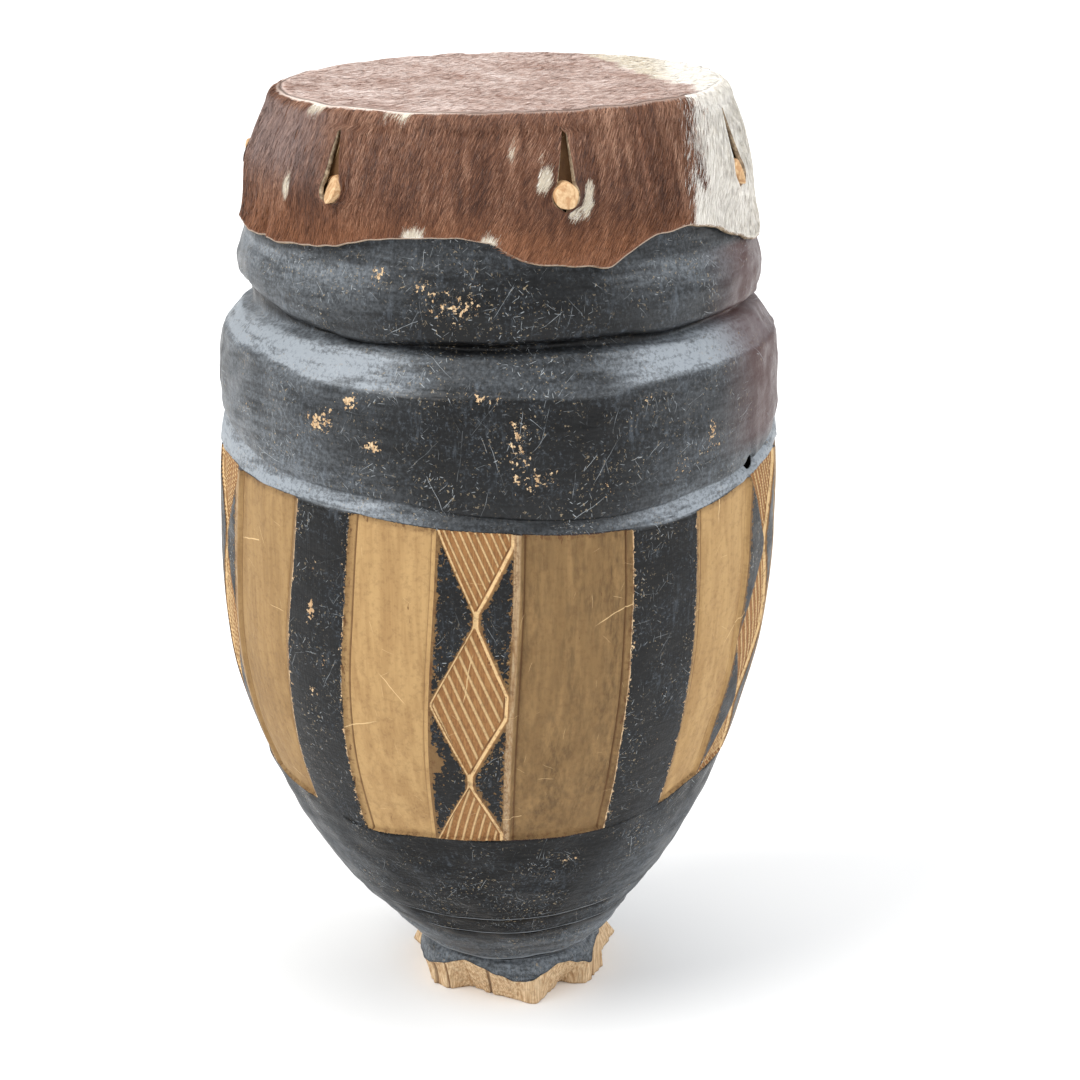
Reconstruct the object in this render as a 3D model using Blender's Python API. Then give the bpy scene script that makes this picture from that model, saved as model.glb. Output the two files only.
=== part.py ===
"""Ceremonial goblet drum carved from a log, with a hair-on cowhide head held by wooden pegs.

The drum stands upright on the middle of the world. Azimuths are in degrees, nought towards -Y
and growing towards +X, and heights are measured up from the floor. All lengths are in metres.
"""
import math

import bmesh
import bpy
import numpy as np

# Overall sizes of the carved body.
BODY_HEIGHT = 0.5495          # floor to the wooden rim under the hide
BELLY_RADIUS = 0.1652
BELLY_HEIGHT = 0.297          # height of the widest stretch
NECK_RADIUS = 0.0525
NECK_HEIGHT = 0.0275
FOOT_SHIFT = 0.0065           # the foot was carved a little to one side
LOW_BELLY_SHIFT = -0.0025     # and the lower belly a little to the other
LOW_BELLY_HEIGHT = 0.190

# Hollow inside.
WALL = 0.0135
RIM_WALL = 0.0115
SOUND_HOLE_RADIUS = 0.0235
SOUND_HOLE_FLARE = 0.0020     # how far the sound hole opens at the floor
BOWL_FLOOR_HEIGHT = 0.072     # where the sound hole opens into the bowl
# Heights in the bowl where the hollow is set out, and the wood left there in whole walls.
HOLLOW_HEIGHTS = (0.110, 0.170, 0.250)
HOLLOW_WALLS = (1.75, 1.25, 1.10)

# Ring bands from the rim down, measured at the mean height of each hand-cut line.
SHOULDER_RISE = 0.0795        # wood under the hide, down to the top of the upper ring
UPPER_RING_RISE = 0.0340
GROOVE_RISE = 0.0095
LEDGE_FALL = 0.0130
LOWER_RING_RISE = 0.0510
CHAMFER_RISE = 0.0160
RING_TOP_HEIGHT = BODY_HEIGHT - SHOULDER_RISE
UPPER_LIP_HEIGHT = RING_TOP_HEIGHT - UPPER_RING_RISE
LEDGE_INNER_HEIGHT = UPPER_LIP_HEIGHT - GROOVE_RISE
LEDGE_OUTER_HEIGHT = LEDGE_INNER_HEIGHT - LEDGE_FALL
LOWER_LIP_HEIGHT = LEDGE_OUTER_HEIGHT - LOWER_RING_RISE
PANEL_TOP_HEIGHT = LOWER_LIP_HEIGHT - CHAMFER_RISE
# The rings and the rim are cut into the same round log as the belly.
RIM_RADIUS = BELLY_RADIUS * 0.7640
RING_TOP_RADIUS = BELLY_RADIUS * 0.8886
UPPER_RING_RADIUS = BELLY_RADIUS * 0.9165
GROOVE_RADIUS = BELLY_RADIUS * 0.8626
LEDGE_INNER_RADIUS = BELLY_RADIUS * 0.9080
LEDGE_OUTER_RADIUS = BELLY_RADIUS * 0.9613
LOWER_RING_RADIUS = BELLY_RADIUS * 0.9843
LOWER_LIP_RADIUS = BELLY_RADIUS * 0.9758
LOWER_FACE_SHARES = (0.30, 0.70)
UPPER_FACE_SHARES = (0.15, 0.38, 0.72)
GROOVE_FALL_SHARE = 0.3       # how much of the groove's height its floor slopes up
EDGE_ROUND = 0.0010           # worn rounding of the rings' edges
LIP_ROUND = 0.0035            # the upper ring's underside is rounded back further
# Hand-cut lines: mean height, dip and the azimuth where the line is lowest.
UPPER_LIP = (UPPER_LIP_HEIGHT, 0.0040, 20.0)
LEDGE_INNER = (LEDGE_INNER_HEIGHT, 0.0025, 0.0)
LEDGE_OUTER = (LEDGE_OUTER_HEIGHT, 0.0070, 0.0)
LOWER_LIP = (LOWER_LIP_HEIGHT, 0.0235, 15.0)
PANEL_TOP = (PANEL_TOP_HEIGHT, 0.0160, 17.0)
PANEL_FOOT = (BELLY_HEIGHT * 0.5387, 0.0200, -5.0)

# Carved panels. A recess is cut below the blackened skin of the log.
RECESS = 0.0020
STEP_RUN = 0.0008             # how far a recess wall leans along the surface
COLUMN_EASE = 0.2             # share of a step that keeps neighbouring columns apart
PANELS_PER_REPEAT = 4
LOZENGE, BROWN, BLACK, TAN = range(PANELS_PER_REPEAT)
# Left edge of every panel at the top and at the foot of the zone, set out by eye, in the
# order lozenge column, brown, black and tan, five times round.
PANEL_EDGES_TOP = (-78.6, -62.6, -42.3, -29.5, -11.7, 4.3, 26.0, 41.2, 59.8, 76.0,
                   97.0, 114.0, 134.0, 150.0, 172.0, 188.0, 208.0, 224.0, 246.0, 262.0)
PANEL_EDGES_FOOT = (-84.0, -70.0, -50.3, -34.5, -14.8, 3.5, 27.7, 44.0, 57.0, 74.0,
                    97.0, 115.0, 135.0, 151.0, 172.0, 187.0, 206.0, 221.0, 243.0, 258.0)
# Half-lozenges down a column: share of the panel's height and width of the pale figure there.
LOZENGE_SHARES = (0.0, 0.258, 0.529, 0.784, 1.0)
LOZENGE_WIDTHS = (1.0, 0.0, 1.0, 0.0, 0.95)
COLUMNS_ACROSS = {BROWN: 4, BLACK: 3, TAN: 3}

# Scored lines round the lower bowl: height, depth and half width.
BOWL_LINES = ((0.0575, 0.0013, 0.0025), (0.0745, 0.0012, 0.0022))
NECK_EASE = 0.008             # height over which the neck's crease is eased out
BOWL_ROW_HEIGHTS = (0.096, 0.118)

# Broken foot: azimuth and radius of the raw edge on the floor, about the foot's own centre,
# and azimuth and height of the line where the black surface breaks off.
FOOT_OUTLINE = ((-168, 57), (-150, 66), (-136, 61), (-124, 73), (-112, 58), (-100, 52),
                (-82, 50), (-67, 52.6), (-60, 54.5), (-53, 53), (-46, 51), (-43, 45),
                (-38, 40.4), (-29.5, 39.6), (-15, 44.2), (-5, 45.6), (3, 49.5), (10, 54.3),
                (15.6, 58.1), (23, 52.3), (32, 47), (42, 42.5), (52, 40.1), (55, 50),
                (59, 54), (66.6, 55.5), (76, 55.5), (85, 58), (95, 59), (109, 63),
                (114, 68), (120, 75), (126, 84), (132, 70), (140, 62), (146, 67),
                (162, 59), (178, 62))
FOOT_UNIT = 0.001
FOOT_EDGE = ((-180, 19), (-150, 16), (-120, 22), (-95, 18), (-76, 15), (-64, 13.8),
             (-57, 16), (-44, 20), (-30, 24), (-21, 23), (-12, 20), (-4, 18), (4, 15),
             (10, 14.5), (19, 17), (29, 21), (34, 22), (41, 21.5), (48, 19), (56, 17),
             (64, 14), (72.5, 20.5), (83, 23), (98, 20), (112, 19), (124, 22), (145, 16))
FOOT_FLARE = 0.28             # how far the black surface spreads for its fall below the neck
BREAK_LEAN = 0.45             # how far out the break starts, between the neck and the floor

# Hide.
HIDE = 0.0030
FIT_GAP = 0.0003
HIDE_EDGE_LIFT = 0.0030       # how far the skirt's edge stands off the wood
HIDE_LIFT_RUN = 0.030
RIM_ROUND = 0.0070
RIM_INSET = 0.0030            # from the rim's edge in to where the hide lies flat
# Lower edge of the skirt: azimuth, and height above the top of the upper ring.
SKIRT_EDGE = ((-172, 12), (-150, 4), (-128, 10), (-104, 2), (-80, 8), (-57, 7),
              (-46, 8), (-37, 10), (-28, 15), (-19, 18), (-10, 19), (-2, 17),
              (2, 10), (8.5, 5), (16, 4), (22.5, 2.5), (28, 9), (36, 17),
              (44, 19), (51, 16), (63, 6), (74, 0), (92, 7), (118, 14),
              (140, 4), (162, 8))
SKIRT_UNIT = 0.001

# Pegs: azimuth of each and its share of the way up the shoulder, and their shape.
PEG_PLACES = ((-98.0, 0.49), (-37.6, 0.50), (13.8, 0.515), (65.0, 0.51),
              (118.5, 0.48), (168.0, 0.50), (-146.0, 0.51))
PEG_RADIUS = 0.0072
PEG_SIDES = 12
PEG_DEPTH = 0.0100            # how far a peg sits in the wood
PEG_PROUD = 0.0055            # how far it stands out of the hide
PEG_TAPER = 0.90
PEG_BEVEL = 0.0012
SLIT_HEIGHT = 0.0345          # height of the drop-shaped slit above the peg's centre
SLIT_CLEARANCE = 0.0005
BULGE = 0.0030                # how far the hide is pulled out round a peg
BULGE_RADIUS = 0.020
CUTTER_REACH = 0.024          # how far a cutter runs past the wood's surface

# Fineness of the facets.
RING_COLUMNS = 48
FOOT_COLUMNS = 66
INNER_COLUMNS = 32
HIDE_COLUMNS = 60
SMOOTH_ANGLE = math.radians(32)

BLACK_WOOD = ("blackened wood", (0.028, 0.031, 0.036, 1.0), 0.42)
HIDE_FINISH = ("hair-on cowhide", (0.110, 0.040, 0.022, 1.0), 0.70)
PEG_FINISH = ("whittled peg wood", (0.520, 0.300, 0.140, 1.0), 0.75)


def clear_scene():
    """Remove every object that the file starts with."""
    for item in list(bpy.data.objects):
        bpy.data.objects.remove(item, do_unlink=True)


def make_material(finish):
    """A plain painted-on finish with the wood's or hide's own colour."""
    name, colour, roughness = finish
    material = bpy.data.materials.new(name)
    material.use_nodes = True
    shader = material.node_tree.nodes["Principled BSDF"]
    shader.inputs["Base Color"].default_value = colour
    shader.inputs["Roughness"].default_value = roughness
    shader.inputs["Metallic"].default_value = 0.0
    material.diffuse_color = colour
    return material


def smooth_curve(places, values):
    """A function through the given stations, with slopes that never overshoot them."""
    places = np.asarray(places, float)
    values = np.asarray(values, float)
    secants = np.diff(values) / np.diff(places)
    slopes = np.zeros(len(values))
    for index in range(1, len(values) - 1):
        before, after = secants[index - 1], secants[index]
        if before * after > 0:
            slopes[index] = 2.0 * before * after / (before + after)
    slopes[0], slopes[-1] = secants[0], secants[-1]

    def curve(place):
        place = np.clip(place, places[0], places[-1])
        index = np.clip(np.searchsorted(places, place, side="right") - 1, 0, len(places) - 2)
        width = places[index + 1] - places[index]
        share = (place - places[index]) / width
        return (values[index] * (1 + 2 * share) * (1 - share) ** 2
                + values[index + 1] * share ** 2 * (3 - 2 * share)
                + slopes[index] * width * share * (1 - share) ** 2
                + slopes[index + 1] * width * share ** 2 * (share - 1))

    return curve


def around(pairs, unit):
    """A function of azimuth through the given stations, closed round the drum."""
    turns = np.array([pair[0] for pair in pairs], float)
    values = np.array([pair[1] for pair in pairs], float) * unit
    turns = np.concatenate([turns - 360, turns, turns + 360])
    values = np.tile(values, 3)

    def curve(azimuth):
        return np.interp(azimuth, turns, values)

    return curve


def line_height(line, azimuth):
    """Height of a hand-cut line: it dips towards one side and rises less on the far side."""
    mean, dip, lowest = line
    swing = np.cos(np.radians(np.asarray(azimuth) - lowest))
    return mean - dip * np.where(swing > 0, swing, 0.35 * swing)


# The turned shape from the neck up to the panels, as shares of the belly.
BOWL_STATIONS = (
    (NECK_HEIGHT, NECK_RADIUS),
    (BELLY_HEIGHT * 0.185, BELLY_RADIUS * 0.464),
    (BELLY_HEIGHT * 0.253, BELLY_RADIUS * 0.565),
    (BELLY_HEIGHT * 0.354, BELLY_RADIUS * 0.693),
    (BELLY_HEIGHT * 0.488, BELLY_RADIUS * 0.810),
    (BELLY_HEIGHT * 0.623, BELLY_RADIUS * 0.902),
    (BELLY_HEIGHT * 0.791, BELLY_RADIUS * 0.975),
    (BELLY_HEIGHT, BELLY_RADIUS),
    (BELLY_HEIGHT * 1.20, BELLY_RADIUS * 0.9965),
)
bowl_radius = smooth_curve([station[0] for station in BOWL_STATIONS],
                           [station[1] for station in BOWL_STATIONS])
foot_outline = around(FOOT_OUTLINE, FOOT_UNIT)
foot_edge = around(FOOT_EDGE, FOOT_UNIT)
skirt_rise = around(SKIRT_EDGE, SKIRT_UNIT)


def skirt_height(azimuth):
    """Height of the hide's lower edge at an azimuth."""
    return RING_TOP_HEIGHT + skirt_rise(azimuth)


# The wooden shoulder under the hide: share of the way from the upper ring to the rounded rim,
# and share of the way in from the ring's radius to the rim's.
SHOULDER_SHARES = (0.0, 0.166, 0.483, 0.759, 1.0)
SHOULDER_INWARD = (0.0, 0.126, 0.209, 0.485, 0.830)
SHOULDER_HEIGHTS = tuple(RING_TOP_HEIGHT + share * (SHOULDER_RISE - RIM_ROUND)
                         for share in SHOULDER_SHARES)
# The skirt of the hide hangs from the middle one of these rows.
SKIRT_ROOT_HEIGHT = SHOULDER_HEIGHTS[len(SHOULDER_HEIGHTS) // 2]
shoulder_radius = smooth_curve(
    SHOULDER_HEIGHTS + (BODY_HEIGHT,),
    [RING_TOP_RADIUS + share * (RIM_RADIUS - RING_TOP_RADIUS) for share in SHOULDER_INWARD]
    + [RIM_RADIUS])
# How far the carved axis has slid sideways at a height.
axis_shift = smooth_curve(
    [NECK_HEIGHT, LOW_BELLY_HEIGHT * 0.45, LOW_BELLY_HEIGHT, BELLY_HEIGHT],
    [FOOT_SHIFT, 0.0, LOW_BELLY_SHIFT, 0.0])


def ring(azimuth, radius, height, shift=0.0):
    """One closed row of points: azimuth in degrees, radius, height and sideways slide."""
    azimuth, radius, height, shift = np.broadcast_arrays(
        np.asarray(azimuth, float), radius, height, shift)
    angle = np.radians(azimuth)
    return np.stack([radius * np.sin(angle) + shift, -radius * np.cos(angle), height], axis=1)


def even_turn(count):
    """Evenly spaced azimuths once round the drum, starting at the first panel."""
    return PANEL_EDGES_TOP[0] + np.arange(count) * 360.0 / count


def panel_columns():
    """Every column of the panel zone as (left edge index, kind, share across, raised, step).

    A lozenge column has nine columns whose shares move with the zigzag; the other panels
    are spread evenly. A step column stands beside the wall of a recess.
    """
    columns = []
    for index in range(len(PANEL_EDGES_TOP)):
        kind = index % PANELS_PER_REPEAT
        if kind == LOZENGE:
            for role in range(9):
                columns.append((index, kind, role))
            continue
        if kind == TAN:
            columns.append((index, kind, -1))
        for step in range(COLUMNS_ACROSS[kind]):
            columns.append((index, kind, step))
        if kind == BROWN:
            columns.append((index, kind, -1))
    return columns


def panel_row(share, columns):
    """Azimuths and cut depths of one row of the panel zone, share 0 at its top.

    The pale lozenges are cut down to the recess; between their zigzag edges and the column's
    sides the black triangles keep the log's own surface.
    """
    top = np.array(PANEL_EDGES_TOP)
    foot = np.array(PANEL_EDGES_FOOT)
    edges = top + (foot - top) * share
    edges = np.append(edges, edges[0] + 360.0)
    width = np.interp(share, LOZENGE_SHARES, LOZENGE_WIDTHS)
    run = math.degrees(STEP_RUN / BELLY_RADIUS)
    azimuths, cuts = [], []
    for index, kind, role in columns:
        left, right = edges[index], edges[index + 1]
        across = right - left
        if kind == LOZENGE:
            middle = (left + right) / 2
            half = max(width * across / 2, run)
            room = across / 2 - half
            wall = min(run, room / 3)
            height = 1.0 if room > 3 * run else max(room / (3 * run), 0.0)
            place, raised = (
                (left, 0.0), (left + wall, height), (middle - half - wall, height),
                (middle - half, 0.0), (middle, 0.0), (middle + half, 0.0),
                (middle + half + wall, height), (right - wall, height), (right, 0.0))[role]
            if role in (0, 8):
                place += (1 if role == 0 else -1) * COLUMN_EASE * run / 10
        elif kind == BLACK:
            place = left + across * role / COLUMNS_ACROSS[BLACK]
            raised = 1.0
        elif kind == BROWN:
            place = left + (across - run) * role / COLUMNS_ACROSS[BROWN]
            place = right - run if role < 0 else max(place, left + COLUMN_EASE * run)
            raised = 0.0
        else:
            place = left if role < 0 else left + run + (across - run) * role / COLUMNS_ACROSS[TAN]
            raised = 1.0 if role < 0 else 0.0
        azimuths.append(place)
        cuts.append(RECESS * (1.0 - raised))
    return np.array(azimuths), np.array(cuts)


def panel_zone_rows():
    """Rows of the panel zone from its foot to its top, with a step at each end."""
    columns = panel_columns()
    shares = (1.0, 0.784, 0.66, 0.535, 0.523, 0.39, 0.258, 0.015, 0.0)
    rows = []
    for share in shares:
        azimuth, cut = panel_row(share, columns)
        top = line_height(PANEL_TOP, azimuth)
        foot = line_height(PANEL_FOOT, azimuth)
        height = top + (foot - top) * share
        if share == shares[0]:
            rows.append(bowl_ring(azimuth, height - STEP_RUN))
        rows.append(bowl_ring(azimuth, height, cut))
        if share == shares[-1]:
            rows.append(bowl_ring(azimuth, height + STEP_RUN))
    return rows


def bowl_ring(azimuth, height, cut=0.0):
    """One row of points on the turned shape, sunk by a cut."""
    return ring(azimuth, bowl_radius(height) - cut, height, axis_shift(height))


def bowl_rows():
    """Rows of the black bowl between the neck and the panels, with its scored lines."""
    azimuth = even_turn(RING_COLUMNS)
    rows = [bowl_ring(azimuth, NECK_HEIGHT + NECK_EASE)]
    for middle, depth, half in BOWL_LINES:
        rows += [bowl_ring(azimuth, middle - half), bowl_ring(azimuth, middle, depth),
                 bowl_ring(azimuth, middle + half)]
    return rows + [bowl_ring(azimuth, height) for height in BOWL_ROW_HEIGHTS]


def foot_rows():
    """Rows of the broken foot from the floor to the neck."""
    azimuth = even_turn(FOOT_COLUMNS)
    base = foot_outline(azimuth)
    edge_height = foot_edge(azimuth)
    black = NECK_RADIUS + FOOT_FLARE * (NECK_HEIGHT - edge_height)
    edge = np.maximum(black, black + BREAK_LEAN * (base - black))
    middle = base + BREAK_LEAN * (edge - base)
    return [
        ring(azimuth, base, 0.0, FOOT_SHIFT),
        ring(azimuth, middle, edge_height * BREAK_LEAN, FOOT_SHIFT),
        ring(azimuth, edge, edge_height, FOOT_SHIFT),
        ring(azimuth, NECK_RADIUS, NECK_HEIGHT, FOOT_SHIFT),
    ]


def ring_band_rows():
    """Rows of the two carved rings, from the chamfer over the panels up to the hide."""
    azimuth = even_turn(RING_COLUMNS)
    lower_lip = line_height(LOWER_LIP, azimuth)
    ledge_outer = line_height(LEDGE_OUTER, azimuth)
    ledge_inner = line_height(LEDGE_INNER, azimuth)
    upper_lip = line_height(UPPER_LIP, azimuth)
    low_face, high_face = (lower_lip + share * (ledge_outer - lower_lip)
                           for share in LOWER_FACE_SHARES)
    roll, crest, slope = (upper_lip + share * (RING_TOP_HEIGHT - upper_lip)
                          for share in UPPER_FACE_SHARES)
    return [
        ring(azimuth, LOWER_LIP_RADIUS, lower_lip - EDGE_ROUND),
        ring(azimuth, LOWER_LIP_RADIUS + EDGE_ROUND / 2, lower_lip + EDGE_ROUND),
        ring(azimuth, LOWER_RING_RADIUS, low_face),
        ring(azimuth, LOWER_RING_RADIUS, high_face),
        ring(azimuth, LEDGE_OUTER_RADIUS + EDGE_ROUND, ledge_outer - EDGE_ROUND),
        ring(azimuth, LEDGE_OUTER_RADIUS - EDGE_ROUND, ledge_outer + EDGE_ROUND),
        ring(azimuth, LEDGE_INNER_RADIUS, ledge_inner),
        ring(azimuth, GROOVE_RADIUS, ledge_inner + GROOVE_RISE * GROOVE_FALL_SHARE),
        ring(azimuth, GROOVE_RADIUS, upper_lip),
        ring(azimuth, UPPER_RING_RADIUS - LIP_ROUND, upper_lip),
        ring(azimuth, UPPER_RING_RADIUS - EDGE_ROUND, roll),
        ring(azimuth, UPPER_RING_RADIUS, crest),
        ring(azimuth, (UPPER_RING_RADIUS + RING_TOP_RADIUS) / 2, slope),
    ]


def shoulder_rows():
    """Rows of the wood under the hide up to its rim."""
    azimuth = even_turn(HIDE_COLUMNS)
    heights = SHOULDER_HEIGHTS + (BODY_HEIGHT - RIM_ROUND / 3,)
    rows = [ring(azimuth, shoulder_radius(height), height) for height in heights]
    rows.append(ring(azimuth, RIM_RADIUS - RIM_INSET, BODY_HEIGHT))
    return rows


def inner_stations():
    """Heights and radii of the hollow: the outer shape less the wall, and the sound hole."""
    stations = [
        (0.0, SOUND_HOLE_RADIUS + SOUND_HOLE_FLARE),
        (NECK_HEIGHT, SOUND_HOLE_RADIUS),
        (BOWL_FLOOR_HEIGHT * 0.80, SOUND_HOLE_RADIUS * 1.06),
        (BOWL_FLOOR_HEIGHT, SOUND_HOLE_RADIUS * 1.55),
    ]
    for height, walls in zip(HOLLOW_HEIGHTS, HOLLOW_WALLS):
        stations.append((height, float(bowl_radius(height)) - walls * WALL))
    stations += [
        (PANEL_TOP_HEIGHT, LOWER_LIP_RADIUS - 1.05 * WALL),
        (LEDGE_INNER_HEIGHT, GROOVE_RADIUS - 0.85 * WALL),
        (SKIRT_ROOT_HEIGHT, float(shoulder_radius(SKIRT_ROOT_HEIGHT)) - WALL),
        (BODY_HEIGHT, RIM_RADIUS - RIM_WALL),
    ]
    return stations


def inner_rows():
    """Rows of the hollow from the rim down to the floor."""
    azimuth = even_turn(INNER_COLUMNS)
    return [ring(azimuth, radius, height, axis_shift(height))
            for height, radius in reversed(inner_stations())]


def bridge(bm, lower, upper):
    """Join two closed rows of vertices, which may hold different numbers of points.

    Both rows run the same way round from nearly the same azimuth. The walk always steps on
    the row whose next point comes first.
    """
    low_count, high_count = len(lower), len(upper)
    if low_count == high_count:
        for step in range(low_count):
            after = (step + 1) % low_count
            bm.faces.new((lower[step], lower[after], upper[after], upper[step]))
        return
    low_step, high_step = 0, 0
    while low_step < low_count or high_step < high_count:
        low_next = (low_step + 1) / low_count
        high_next = (high_step + 1) / high_count
        low_here = lower[low_step % low_count]
        high_here = upper[high_step % high_count]
        go_low = high_step >= high_count
        if low_step < low_count and high_step < high_count:
            low_turn = turn_of(lower[(low_step + 1) % low_count], low_next)
            high_turn = turn_of(upper[(high_step + 1) % high_count], high_next)
            go_low = low_turn <= high_turn
        if go_low:
            bm.faces.new((low_here, lower[(low_step + 1) % low_count], high_here))
            low_step += 1
        else:
            bm.faces.new((low_here, upper[(high_step + 1) % high_count], high_here))
            high_step += 1


def turn_of(vertex, guess):
    """Share of a whole turn at which a vertex lies, near a guess, from the first panel."""
    azimuth = math.degrees(math.atan2(vertex.co.x, -vertex.co.y)) - PANEL_EDGES_TOP[0]
    share = azimuth / 360.0
    return share + round(guess - share)


def add_rows(bm, rows):
    """Put rows of points into the mesh and join each row to the next."""
    loops = [[bm.verts.new(point) for point in row] for row in rows]
    for lower, upper in zip(loops, loops[1:]):
        bridge(bm, lower, upper)
    return loops


def finish_object(name, bm, material):
    """Turn a bmesh into a named, smooth-shaded object with its material."""
    bmesh.ops.recalc_face_normals(bm, faces=bm.faces)
    mesh = bpy.data.meshes.new(name)
    bm.to_mesh(mesh)
    bm.free()
    mesh.materials.append(material)
    item = bpy.data.objects.new(name, mesh)
    bpy.context.collection.objects.link(item)
    mesh.shade_smooth()
    mesh.set_sharp_from_angle(angle=SMOOTH_ANGLE)
    return item


def add_cutter(name, bm):
    """A hidden cutter object from a bmesh."""
    bmesh.ops.recalc_face_normals(bm, faces=bm.faces)
    mesh = bpy.data.meshes.new(name)
    bm.to_mesh(mesh)
    bm.free()
    item = bpy.data.objects.new(name, mesh)
    bpy.context.collection.objects.link(item)
    item.hide_render = True
    item.display_type = "WIRE"
    return item


def cut(item, cutter):
    """Take a cutter's volume out of an object."""
    modifier = item.modifiers.new(cutter.name, "BOOLEAN")
    modifier.operation = "DIFFERENCE"
    modifier.solver = "EXACT"
    modifier.object = cutter


def peg_places():
    """Azimuth and height of every peg, and the wood's radius where it goes in."""
    places = []
    for azimuth, share in PEG_PLACES:
        height = RING_TOP_HEIGHT + share * SHOULDER_RISE
        places.append((azimuth, height, float(shoulder_radius(height))))
    return places


def hide_side_radius(azimuth, height, inside):
    """Radius of the hide's inner or outer face at a place on its side.

    The hide lies on the shoulder with a small gap, lifts off towards its lower edge, and is
    pulled out in a soft round hump round each peg.
    """
    base = shoulder_radius(height) + FIT_GAP
    share = np.clip(1.0 - (height - skirt_height(azimuth)) / HIDE_LIFT_RUN, 0.0, 1.0)
    base = base + HIDE_EDGE_LIFT * share ** 2
    for peg_azimuth, peg_height, _ in peg_places():
        turn = (np.asarray(azimuth) - peg_azimuth + 180.0) % 360.0 - 180.0
        across = np.radians(turn) * RING_TOP_RADIUS
        up = height - peg_height
        base = base + BULGE * np.exp(-(across ** 2 + up ** 2) / BULGE_RADIUS ** 2)
    return base + (0.0 if inside else HIDE)


def hide_rows(inside):
    """Rows of the hide's side from its lower edge up to the rim, on one face."""
    azimuth = even_turn(HIDE_COLUMNS)
    edge = skirt_height(azimuth)
    heights = [edge, (edge + SKIRT_ROOT_HEIGHT) / 2]
    heights += [np.full(HIDE_COLUMNS, height) for height in SHOULDER_HEIGHTS
                if height >= SKIRT_ROOT_HEIGHT]
    rows = []
    for height in heights:
        rows.append(ring(azimuth, hide_side_radius(azimuth, height, inside), height))
    lift = FIT_GAP if inside else FIT_GAP + HIDE
    flat = RIM_RADIUS - RIM_INSET
    across = shoulder_radius(BODY_HEIGHT - RIM_ROUND) - flat
    for tilt in (35.0, 65.0):
        angle = math.radians(tilt)
        radius = flat + (across + lift) * math.cos(angle)
        height = BODY_HEIGHT - RIM_ROUND + (RIM_ROUND + lift) * math.sin(angle)
        rows.append(ring(azimuth, radius, height))
    rows.append(ring(azimuth, flat, BODY_HEIGHT + lift))
    return rows


def close_top(bm, loop, height):
    """Close the head with one shallow fan of faces to its middle."""
    middle = bm.verts.new((0.0, 0.0, height))
    count = len(loop)
    for step in range(count):
        bm.faces.new((loop[step], loop[(step + 1) % count], middle))


def peg_frame(azimuth):
    """Outward and sideways directions at an azimuth."""
    angle = math.radians(azimuth)
    outward = np.array([math.sin(angle), -math.cos(angle), 0.0])
    sideways = np.array([math.cos(angle), math.sin(angle), 0.0])
    return outward, sideways


def add_prism(bm, outline, start, end, azimuth, height, end_scale=1.0):
    """A prism that runs outward from one radius to another, from an outline across and up."""
    outward, sideways = peg_frame(azimuth)
    loops = []
    for distance, scale in ((start, 1.0), (end, end_scale)):
        loop = []
        for across, up in outline:
            point = outward * distance + sideways * across * scale
            loop.append(bm.verts.new((point[0], point[1], height + up * scale)))
        loops.append(loop)
    count = len(outline)
    for step in range(count):
        after = (step + 1) % count
        bm.faces.new((loops[0][step], loops[0][after], loops[1][after], loops[1][step]))
    bm.faces.new(loops[0])
    bm.faces.new(loops[1])


def circle_outline(radius, sides):
    """Points round a circle."""
    angles = [2 * math.pi * step / sides for step in range(sides)]
    return [(radius * math.cos(angle), radius * math.sin(angle)) for angle in angles]


def slit_outline():
    """Outline of a slit: round under the peg, drawn up to a point like a drop."""
    radius = PEG_RADIUS + SLIT_CLEARANCE
    points = []
    for step in range(11):
        angle = math.radians(200 + step * 14)
        points.append((radius * math.cos(angle), radius * math.sin(angle)))
    side = [(radius * 0.98, radius * 0.35), (radius * 0.75, radius * 0.85),
            (radius * 0.37, SLIT_HEIGHT * 0.52)]
    points += side + [(0.0, SLIT_HEIGHT)]
    points += [(-across, up) for across, up in reversed(side)]
    return points


def build_shell(material):
    """The carved body: outside, rim, hollow and sound hole as one closed skin."""
    bm = bmesh.new()
    rows = (foot_rows() + bowl_rows() + panel_zone_rows() + ring_band_rows()
            + shoulder_rows() + inner_rows())
    loops = add_rows(bm, rows)
    bridge(bm, loops[-1], loops[0])
    shell = finish_object("shell", bm, material)
    cutter = bmesh.new()
    outline = circle_outline(PEG_RADIUS + FIT_GAP, PEG_SIDES)
    for azimuth, height, seat in peg_places():
        add_prism(cutter, outline, seat - PEG_DEPTH - FIT_GAP, seat + CUTTER_REACH, azimuth, height)
    cut(shell, add_cutter("peg_hole_cutter", cutter))
    return shell


def build_hide(material):
    """The drum's head: a hide with two faces, a rolled rim and a ragged skirt."""
    bm = bmesh.new()
    outer = add_rows(bm, hide_rows(inside=False))
    inner = add_rows(bm, hide_rows(inside=True))
    bridge(bm, outer[0], inner[0])
    close_top(bm, outer[-1], BODY_HEIGHT + FIT_GAP + HIDE)
    close_top(bm, inner[-1], BODY_HEIGHT + FIT_GAP)
    hide = finish_object("drumskin", bm, material)
    cutter = bmesh.new()
    for azimuth, height, seat in peg_places():
        add_prism(cutter, slit_outline(), seat - CUTTER_REACH, seat + CUTTER_REACH, azimuth, height)
    cut(hide, add_cutter("slit_cutter", cutter))
    return hide


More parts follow.
